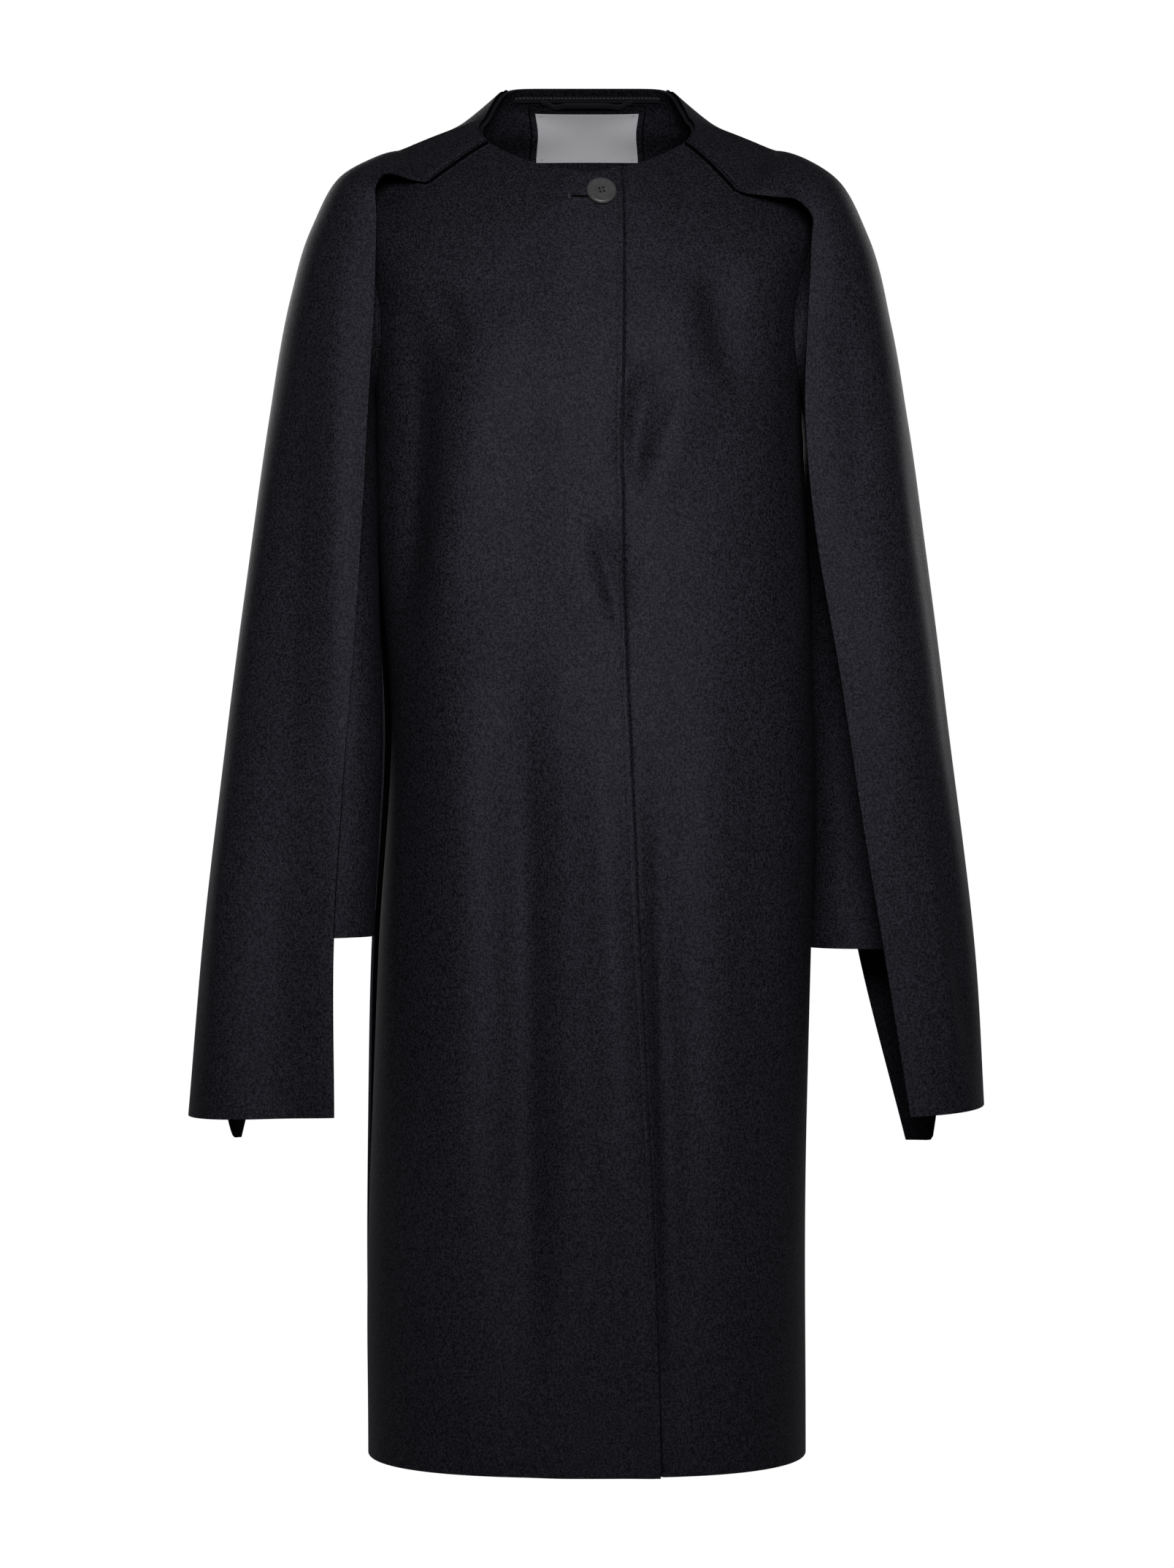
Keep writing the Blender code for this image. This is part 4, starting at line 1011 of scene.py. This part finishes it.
def button(name, material, thread):
    """A turned button with a low dish and four drilled holes, sewn on the right front."""
    seat, facing = on_right_front(BUTTON_X, BUTTON_Z, BUTTON_LIFT)
    profile = [
        (0.0, BUTTON_THICK - BUTTON_DISH),
        (BUTTON_RADIUS - 0.0060, BUTTON_THICK - BUTTON_DISH * 0.9),
        (BUTTON_RADIUS - 0.0042, BUTTON_THICK - BUTTON_DISH * 0.55),
        (BUTTON_RADIUS - 0.0026, BUTTON_THICK - BUTTON_DISH * 0.08),
        (BUTTON_RADIUS - 0.0018, BUTTON_THICK),
        (BUTTON_RADIUS - 0.0011, BUTTON_THICK - BUTTON_RIM_DROP * 0.25),
        (BUTTON_RADIUS - 0.0005, BUTTON_THICK - BUTTON_RIM_DROP),
        (BUTTON_RADIUS - 0.0001, BUTTON_THICK * 0.62),
        (BUTTON_RADIUS, BUTTON_THICK * 0.50),
        (BUTTON_RADIUS - 0.0003, BUTTON_THICK * 0.30),
        (BUTTON_RADIUS - 0.0009, BUTTON_THICK * 0.10),
        (BUTTON_RADIUS - 0.0016, 0.0),
        (0.0, 0.0),
    ]
    mesh = bpy.data.meshes.new(name)
    corners = [(radius, 0, height) for radius, height in profile]
    mesh.from_pydata(corners, [(k, k + 1) for k in range(len(corners) - 1)], [])
    piece = new_object(name, mesh)
    turned = piece.modifiers.new("turned", "SCREW")
    turned.steps = turned.render_steps = BUTTON_STEPS
    turned.use_merge_vertices = True
    turned.merge_threshold = BUTTON_MERGE

    drills = bmesh.new()
    plugs = bmesh.new()
    for k in range(4):
        angle = math.radians(45 + BUTTON_TURN + 90 * k)
        offset = Vector((math.cos(angle), math.sin(angle), 0)) * BUTTON_HOLE_SPACING / math.sqrt(2)
        add_cone(drills, 24, BUTTON_HOLE, BUTTON_HOLE, 4 * BUTTON_THICK, offset)
        sunk = offset + Vector((0, 0, BUTTON_THICK * 0.05))
        add_cone(plugs, 16, BUTTON_HOLE * 0.82, BUTTON_HOLE * 0.55, BUTTON_THICK * 0.8, sunk)
    cutter = new_object("button_drills", mesh_from("button_drills", drills))
    cut = piece.modifiers.new("holes", "BOOLEAN")
    cut.operation = "DIFFERENCE"
    cut.solver = "EXACT"
    cut.object = cutter
    drilled = piece.evaluated_get(bpy.context.evaluated_depsgraph_get())
    cut_mesh = bpy.data.meshes.new_from_object(drilled)
    bpy.data.objects.remove(cutter)
    bpy.data.objects.remove(piece)

    plug_mesh = mesh_from("button_thread", plugs)
    turn = Vector(facing).to_track_quat("Z", "Y").to_matrix().to_4x4()
    place = Matrix.Translation(Vector(seat)) @ turn
    for part, finish in ((cut_mesh, material), (plug_mesh, thread)):
        part.transform(place)
        part.materials.clear()
        part.materials.append(finish)
    cut_mesh.polygons.foreach_set("use_smooth", np.ones(len(cut_mesh.polygons), bool))
    cut_mesh.set_sharp_from_angle(angle=math.radians(BUTTON_SHARP_ANGLE))
    new_piece(f"{name}_piece", cut_mesh, name)
    new_piece("button_thread", plug_mesh)


def front_row(name, x, z, material, thread, height=0.0):
    """A row of stitches on the lapped part of the right front, through these places."""
    found = [on_right_front(a, b, height) for a, b in np.broadcast(x, z)]
    path = np.array([point for point, _ in found])
    normals = np.array([normal for _, normal in found])
    stitches(name, path, normals, material, thread)


def buttonhole(material, pale_material):
    """A worked slit beside the button, with a bar tack at its far end. The slit is a dark cord that
    paints the shade of the cut.
    """
    x = np.linspace(HOLE_START, HOLE_END, 40)
    front_row("buttonhole_slit", x, HOLE_Z, material, HOLE_SLIT, HOLE_SLIT_LIFT)
    front_row("buttonhole_upper", x, HOLE_Z + HOLE_LIP / 2, material, HOLE_STITCH)
    front_row("buttonhole_lower", x, HOLE_Z - HOLE_LIP / 2, material, HOLE_STITCH)
    tack_z = HOLE_Z + np.linspace(-TACK_LENGTH / 2, TACK_LENGTH / 2, 12)
    front_row("buttonhole_tack", TACK_X, tack_z, pale_material, TACK_STITCH)
    front_row("buttonhole_bar", np.linspace(*BAR_ENDS, 12), HOLE_Z + BAR_LIFT, pale_material, TACK_STITCH)


def neck_row(name, across, down, depth, material, thread):
    """A row of stitches inside the back neck, through these places."""
    path = back_neck_points(across, down, depth)
    inward = unit(back_neck_points(across, down, depth + NORMAL_STEP_IN) - path)
    stitches(name, path, inward, material, thread)


def trim_rows():
    """A stitch at each corner of the label, a pale row on the tape and a dark cord down each patch side
    that paints the shadow at its edge.
    """
    half = LABEL_TACK.length / 2
    for side in (RIGHT, LEFT):
        middle = side * (LABEL_HALF_WIDTH - LABEL_TACK_INSET - half)
        across = middle + np.linspace(-half, half, 5)
        for name, down in (("top", LABEL_TACK_INSET), ("foot", LABEL_HEIGHT - LABEL_TACK_INSET)):
            title = f"label_tack_{SIDE_NAME[side]}_{name}"
            neck_row(title, across, LABEL_TOP + down, LABEL_DEPTH + LABEL_THICK, LABEL_THREAD, LABEL_TACK)
    across = np.linspace(-TAPE_HALF_LENGTH, TAPE_HALF_LENGTH, 48)
    on_tape = TAPE_DEPTH + TAPE_THICK
    neck_row("neck_tape_row", across, TAPE_TOP + TAPE_ROW_DROP, on_tape, TAPE_THREAD, TAPE_ROW)
    # Dark cords down the patch sides paint the shadow at its edges
    down = np.linspace(PATCH_TOP, PATCH_TOP + PATCH_HEIGHT, 24)
    for side in (RIGHT, LEFT):
        title = f"neck_patch_shade_line_{SIDE_NAME[side]}"
        neck_row(title, side * PATCH_HALF_WIDTH, down, TAPE_DEPTH, DARK_THREAD_AND_SHADE, PATCH_SHADE_LINE)


def new_node(tree, kind, inputs=(), **settings):
    """A shader node with its settings and the values of its inputs."""
    node = tree.nodes.new(kind)
    for name, value in settings.items():
        setattr(node, name, value)
    for name, value in inputs:
        node.inputs[name].default_value = value
    return node


def ramp(tree, fac, low, high, dark, light):
    """Two colours, one below low and the other above high."""
    node = tree.nodes.new("ShaderNodeValToRGB")
    node.color_ramp.elements[0].position = low
    node.color_ramp.elements[1].position = high
    node.color_ramp.elements[0].color = (*dark, 1)
    node.color_ramp.elements[1].color = (*light, 1)
    tree.links.new(fac, node.inputs["Fac"])
    return node.outputs["Color"]


def multiplied(tree, first, second):
    node = new_node(tree, "ShaderNodeMix", data_type="RGBA", blend_type="MULTIPLY")
    node.inputs["Factor"].default_value = 1
    tree.links.new(first, node.inputs["A"])
    tree.links.new(second, node.inputs["B"])
    return next(output for output in node.outputs if output.type == "RGBA")


def noise(tree, coordinates, scale, detail, roughness=0.6):
    inputs = (("Scale", scale), ("Detail", detail), ("Roughness", roughness))
    node = new_node(tree, "ShaderNodeTexNoise", inputs)
    tree.links.new(coordinates, node.inputs["Vector"])
    return node.outputs["Fac"]


def bumped(tree, shader, height, strength, distance):
    node = new_node(tree, "ShaderNodeBump", (("Strength", strength), ("Distance", distance)))
    tree.links.new(height, node.inputs["Height"])
    tree.links.new(node.outputs["Normal"], shader.inputs["Normal"])


def new_material(name, roughness, specular, tint=(1, 1, 1)):
    """A material with its tree, shader and object coordinates."""
    material = bpy.data.materials.new(name)
    material.use_nodes = True
    tree = material.node_tree
    shader = tree.nodes["Principled BSDF"]
    shader.inputs["Roughness"].default_value = roughness
    shader.inputs["Specular IOR Level"].default_value = specular
    shader.inputs["Specular Tint"].default_value = (*tint, 1)
    coordinates = tree.nodes.new("ShaderNodeTexCoord").outputs["Object"]
    return material, tree, shader, coordinates


def stretched(tree, coordinates, turn, scale):
    """Coordinates turned and stretched, so that a noise on them makes short fibres."""
    node = new_node(tree, "ShaderNodeMapping", (("Rotation", turn), ("Scale", scale)))
    tree.links.new(coordinates, node.inputs["Vector"])
    return node.outputs["Vector"]


def added(tree, first, second, share):
    node = new_node(tree, "ShaderNodeMath", operation="MULTIPLY_ADD")
    tree.links.new(second, node.inputs[0])
    node.inputs[1].default_value = share
    tree.links.new(first, node.inputs[2])
    return node.outputs["Value"]


def wool_material(name, dark, light, grain_scale=640, shine=0.18):
    """Pressed wool: a fine felted grain with crossing fibres and faint cloudy patches."""
    material, tree, shader, coordinates = new_material(name, 0.67, shine, (0.80, 0.78, 1.0))
    grain = noise(tree, coordinates, grain_scale, 3, 0.60)
    fibres_a = noise(tree, stretched(tree, coordinates, (0.4, 0.9, 0.6), (1500, 1500, 260)), 1, 2)
    fibres_b = noise(tree, stretched(tree, coordinates, (1.9, 0.3, 2.1), (1500, 1500, 260)), 1, 2)
    surface = added(tree, added(tree, grain, fibres_a, 0.35), fibres_b, 0.35)
    colour = ramp(tree, surface, 0.74, 1.02, dark, light)
    clouds = ramp(tree, noise(tree, coordinates, 38, 4), 0.30, 0.70, (0.86, 0.86, 0.86), (1, 1, 1))
    tree.links.new(multiplied(tree, colour, clouds), shader.inputs["Base Color"])
    bumped(tree, shader, surface, 0.55, 0.0006)
    return material


def thread_material(name, dark, light, shine=0.30):
    material, tree, shader, coordinates = new_material(name, 0.60, shine)
    twist = noise(tree, coordinates, 2600, 2)
    tree.links.new(ramp(tree, twist, 0.35, 0.65, dark, light), shader.inputs["Base Color"])
    bumped(tree, shader, twist, 0.4, 0.0001)
    return material


def woven_material(name, dark, light, rib_scale, roughness, shine=0.25):
    """Closely woven tape or label cloth with fine ribs both ways."""
    material, tree, shader, coordinates = new_material(name, roughness, shine)
    ribs = []
    for direction in ("X", "Z"):
        inputs = (("Scale", rib_scale), ("Distortion", 0.6), ("Detail", 1.0))
        node = new_node(tree, "ShaderNodeTexWave", inputs, bands_direction=direction)
        tree.links.new(coordinates, node.inputs["Vector"])
        ribs.append(node.outputs["Fac"])
    weave = added(tree, ribs[0], ribs[1], 0.8)
    mottled = added(tree, weave, noise(tree, coordinates, 420, 3), 0.9)
    tree.links.new(ramp(tree, mottled, 0.5, 2.1, dark, light), shader.inputs["Base Color"])
    bumped(tree, shader, weave, 0.35, 0.0002)
    return material


def button_material(name):
    """Satin moulded plastic with a faint cloud and fine turning marks."""
    material, tree, shader, coordinates = new_material(name, 0.38, 0.45)
    clouds = noise(tree, coordinates, 180, 4)
    dark, light = (0.038, 0.037, 0.038), (0.058, 0.057, 0.059)
    tree.links.new(ramp(tree, clouds, 0.3, 0.7, dark, light), shader.inputs["Base Color"])
    bumped(tree, shader, noise(tree, coordinates, 900, 3), 0.12, 0.0002)
    return material


WOOL = wool_material("pressed_wool", (0.0006, 0.0006, 0.0008), (0.0232, 0.0220, 0.0286))
# The same wool darkened, for faces inside the coat: painted shade of the inside
INSIDE_PAINTED_SHADE = wool_material("wool_inside_painted_shade", (0.0004, 0.0004, 0.0005), (0.0156, 0.0148, 0.0196), shine=0.10)
RAW_EDGE = wool_material("wool_raw_edge", (0.0020, 0.0019, 0.0025), (0.0240, 0.0230, 0.0290), 900)
# Near-black wool for the rims of the scarf and the patch: painted shadow along their lapped edges
EDGE_PAINTED_SHADOW = wool_material(
    "wool_edge_painted_shadow", (0.0003, 0.0003, 0.0004), (0.0040, 0.0038, 0.0048), shine=0.02
)
# Near-black thread and cord: the button thread and buttonhole stitches, and painted shade in the shadow
# lines at the scarf seams, down the patch sides and in the buttonhole slit; the scarf seam stitches are
# this dark so that they also paint the shade of their groove
DARK_THREAD_AND_SHADE = thread_material("dark_thread_and_painted_shade", (0.0008, 0.0008, 0.0010), (0.0030, 0.0030, 0.0036), 0.01)
TAPE_THREAD = thread_material("tape_thread", (0.030, 0.030, 0.034), (0.060, 0.060, 0.068))
LABEL_THREAD = thread_material("label_thread", (0.120, 0.120, 0.126), (0.240, 0.240, 0.250))
THREAD = thread_material("dark_thread", (0.010, 0.010, 0.013), (0.026, 0.026, 0.032))
PALE_THREAD = thread_material("pale_thread", (0.050, 0.050, 0.055), (0.110, 0.110, 0.118))
TAPE = woven_material("neck_tape", (0.004, 0.004, 0.005), (0.012, 0.012, 0.015), 900, 0.60, 0.10)
LABEL = woven_material("label_cloth", (0.400, 0.400, 0.418), (0.478, 0.478, 0.500), 620, 0.75)
PLASTIC = button_material("button_plastic")
# Inner faces take the darkened wool of the inside, which is painted shade; the scarf's and the patch's
# rims take the near-black wool, which is painted shadow
CLOTH_MATERIALS = (WOOL, INSIDE_PAINTED_SHADE, RAW_EDGE)
SCARF_MATERIALS = (WOOL, INSIDE_PAINTED_SHADE, EDGE_PAINTED_SHADOW)
PATCH_MATERIALS = (INSIDE_PAINTED_SHADE, INSIDE_PAINTED_SHADE, EDGE_PAINTED_SHADOW)
MATERIALS = {"front": CLOTH_MATERIALS, "sleeve": CLOTH_MATERIALS, "scarf": SCARF_MATERIALS}

# Cloth pieces
sheets = {}
for side in (RIGHT, LEFT):
    hand = SIDE_NAME[side]
    for kind, make in (("front", front_sheets), ("sleeve", sleeve_sheets), ("scarf", scarf_sheets)):
        node_name = f"{kind}_{hand}"
        sheets[node_name] = make(side)
        title, closed = f"{node_name}_cloth", kind == "sleeve"
        shell(title, *sheets[node_name], MATERIALS[kind], "wool", node_name, closed)
sheets["back"] = back_sheets()
shell("back_cloth", *sheets["back"], CLOTH_MATERIALS, "wool", "back")

# Stitching of the front edge, the scarf seams and the sleeve hems, and a painted shadow line at the foot
# of each scarf seam's edge
for side in (RIGHT, LEFT):
    hand = SIDE_NAME[side]
    outer, inner = sheets[f"scarf_{hand}"]
    column = SEAM_EDGE_PLACES.index(SEAM_STITCH_INSET)
    for face, at in (("front", column), ("back", -1 - column)):
        seam = slice(SCARF_ROWS, None)
        normals = unit(outer[seam, at] - inner[seam, at])
        row = outer[seam, at]
        stitches(f"scarf_{hand}_{face}_stitches", row, normals, DARK_THREAD_AND_SHADE, SEAM_STITCH)
        # A dark cord along the foot of the scarf's edge paints the shadow under it
        edge = 0 if face == "front" else -1
        beside = unit(outer[seam, edge] - outer[seam, at])
        foot = inner[seam, edge] + SEAM_SHADE.radius * beside
        stitches(f"scarf_{hand}_{face}_shade", foot, normals, DARK_THREAD_AND_SHADE, SEAM_SHADE)
    outer, inner = sheets[f"sleeve_{hand}"]
    row = -1 - HEM_PLACES.index(HEM_STITCH_HEIGHT)
    ring = np.concatenate([outer[row], outer[row, :1]])
    normals = unit(outer[row] - inner[row])
    stitches(f"sleeve_{hand}_hem_stitches", ring, np.concatenate([normals, normals[:1]]), THREAD)
outer, inner = sheets["front_right"]
column = FRONT_EDGE_PLACES.index(FRONT_STITCH_INSET)
stitches("front_edge_stitches", outer[:, column], unit(outer[:, column] - inner[:, column]), THREAD)

# Trim inside the back neck
tape_size = (TAPE_HALF_LENGTH, TAPE_TOP, TAPE_HEIGHT, TAPE_DEPTH, TAPE_THICK)
patch_size = (PATCH_HALF_WIDTH, PATCH_TOP, PATCH_HEIGHT, TAPE_DEPTH, PATCH_THICK)
label_size = (LABEL_HALF_WIDTH, LABEL_TOP, LABEL_HEIGHT, LABEL_DEPTH, LABEL_THICK)
inner_trim("neck_tape", *tape_size, (TAPE,), "tape", 64, 6)
patch = inner_trim("neck_patch", *patch_size, PATCH_MATERIALS, "wool", 56, 36)
label = inner_trim("label", *label_size, (LABEL,), "label", 48, 24)
hanger_loop("hanger_loop", (TAPE,))
button("button", PLASTIC, DARK_THREAD_AND_SHADE)
buttonhole(DARK_THREAD_AND_SHADE, PALE_THREAD)
trim_rows()


def add_light(light):
    data = bpy.data.lights.new(light.name, "AREA")
    data.shape = "DISK"
    data.energy = light.watts
    data.size = light.width
    data.spread = math.radians(light.spread)
    lamp = new_object(light.name, data)
    lamp.location = light.place
    lamp.rotation_mode = "QUATERNION"
    lamp.rotation_quaternion = (Vector(light.target) - Vector(light.place)).to_track_quat("-Z", "Y")


def set_stage():
    """A pale floor well below the coat, a white surround and soft lights."""
    disc = bmesh.new()
    bmesh.ops.create_circle(disc, cap_ends=True, segments=96, radius=FLOOR_RADIUS)
    floor = new_object("floor", mesh_from("floor", disc))
    floor.location = (0, 0, FLOOR_Z)
    material, tree, shader, coordinates = new_material("pale_floor", 0.9, 0.1)
    clouds = noise(tree, coordinates, 6, 3)
    speckle = ramp(tree, clouds, 0.3, 0.7, (0.80, 0.80, 0.80), (0.86, 0.86, 0.86))
    tree.links.new(speckle, shader.inputs["Base Color"])
    floor.data.materials.append(material)

    world = bpy.data.worlds.new("surround")
    world.use_nodes = True
    tree = world.node_tree
    tree.nodes.clear()
    seen = new_node(tree, "ShaderNodeBackground", (("Color", (1, 1, 1, 1)), ("Strength", 1.0)))
    fill_inputs = (("Color", (0.96, 0.97, 1, 1)), ("Strength", SURROUND_FILL))
    fill = new_node(tree, "ShaderNodeBackground", fill_inputs)
    rays = tree.nodes.new("ShaderNodeLightPath")
    mix = tree.nodes.new("ShaderNodeMixShader")
    out = tree.nodes.new("ShaderNodeOutputWorld")
    tree.links.new(rays.outputs["Is Camera Ray"], mix.inputs["Fac"])
    tree.links.new(fill.outputs["Background"], mix.inputs[1])
    tree.links.new(seen.outputs["Background"], mix.inputs[2])
    tree.links.new(mix.outputs["Shader"], out.inputs["Surface"])
    bpy.context.scene.world = world

    for light in LIGHTS:
        add_light(light)


def set_camera():
    """The camera at the picture's viewing angle, with its long side as the sensor's size."""
    data = bpy.data.cameras.new("camera")
    data.sensor_fit = "AUTO"
    data.sensor_width = SENSOR
    data.lens = FOCAL_PIXELS / max(PICTURE_WIDTH, PICTURE_HEIGHT) * SENSOR
    camera = new_object("camera", data)
    camera.location = CAMERA_PLACE
    camera.rotation_euler = (math.pi / 2, 0, 0)
    bpy.context.scene.camera = camera
    bpy.context.scene.view_settings.view_transform = "Standard"


set_stage()
set_camera()

# Cut sizes of the sheets
for side in (RIGHT, LEFT):
    hand = SIDE_NAME[side]
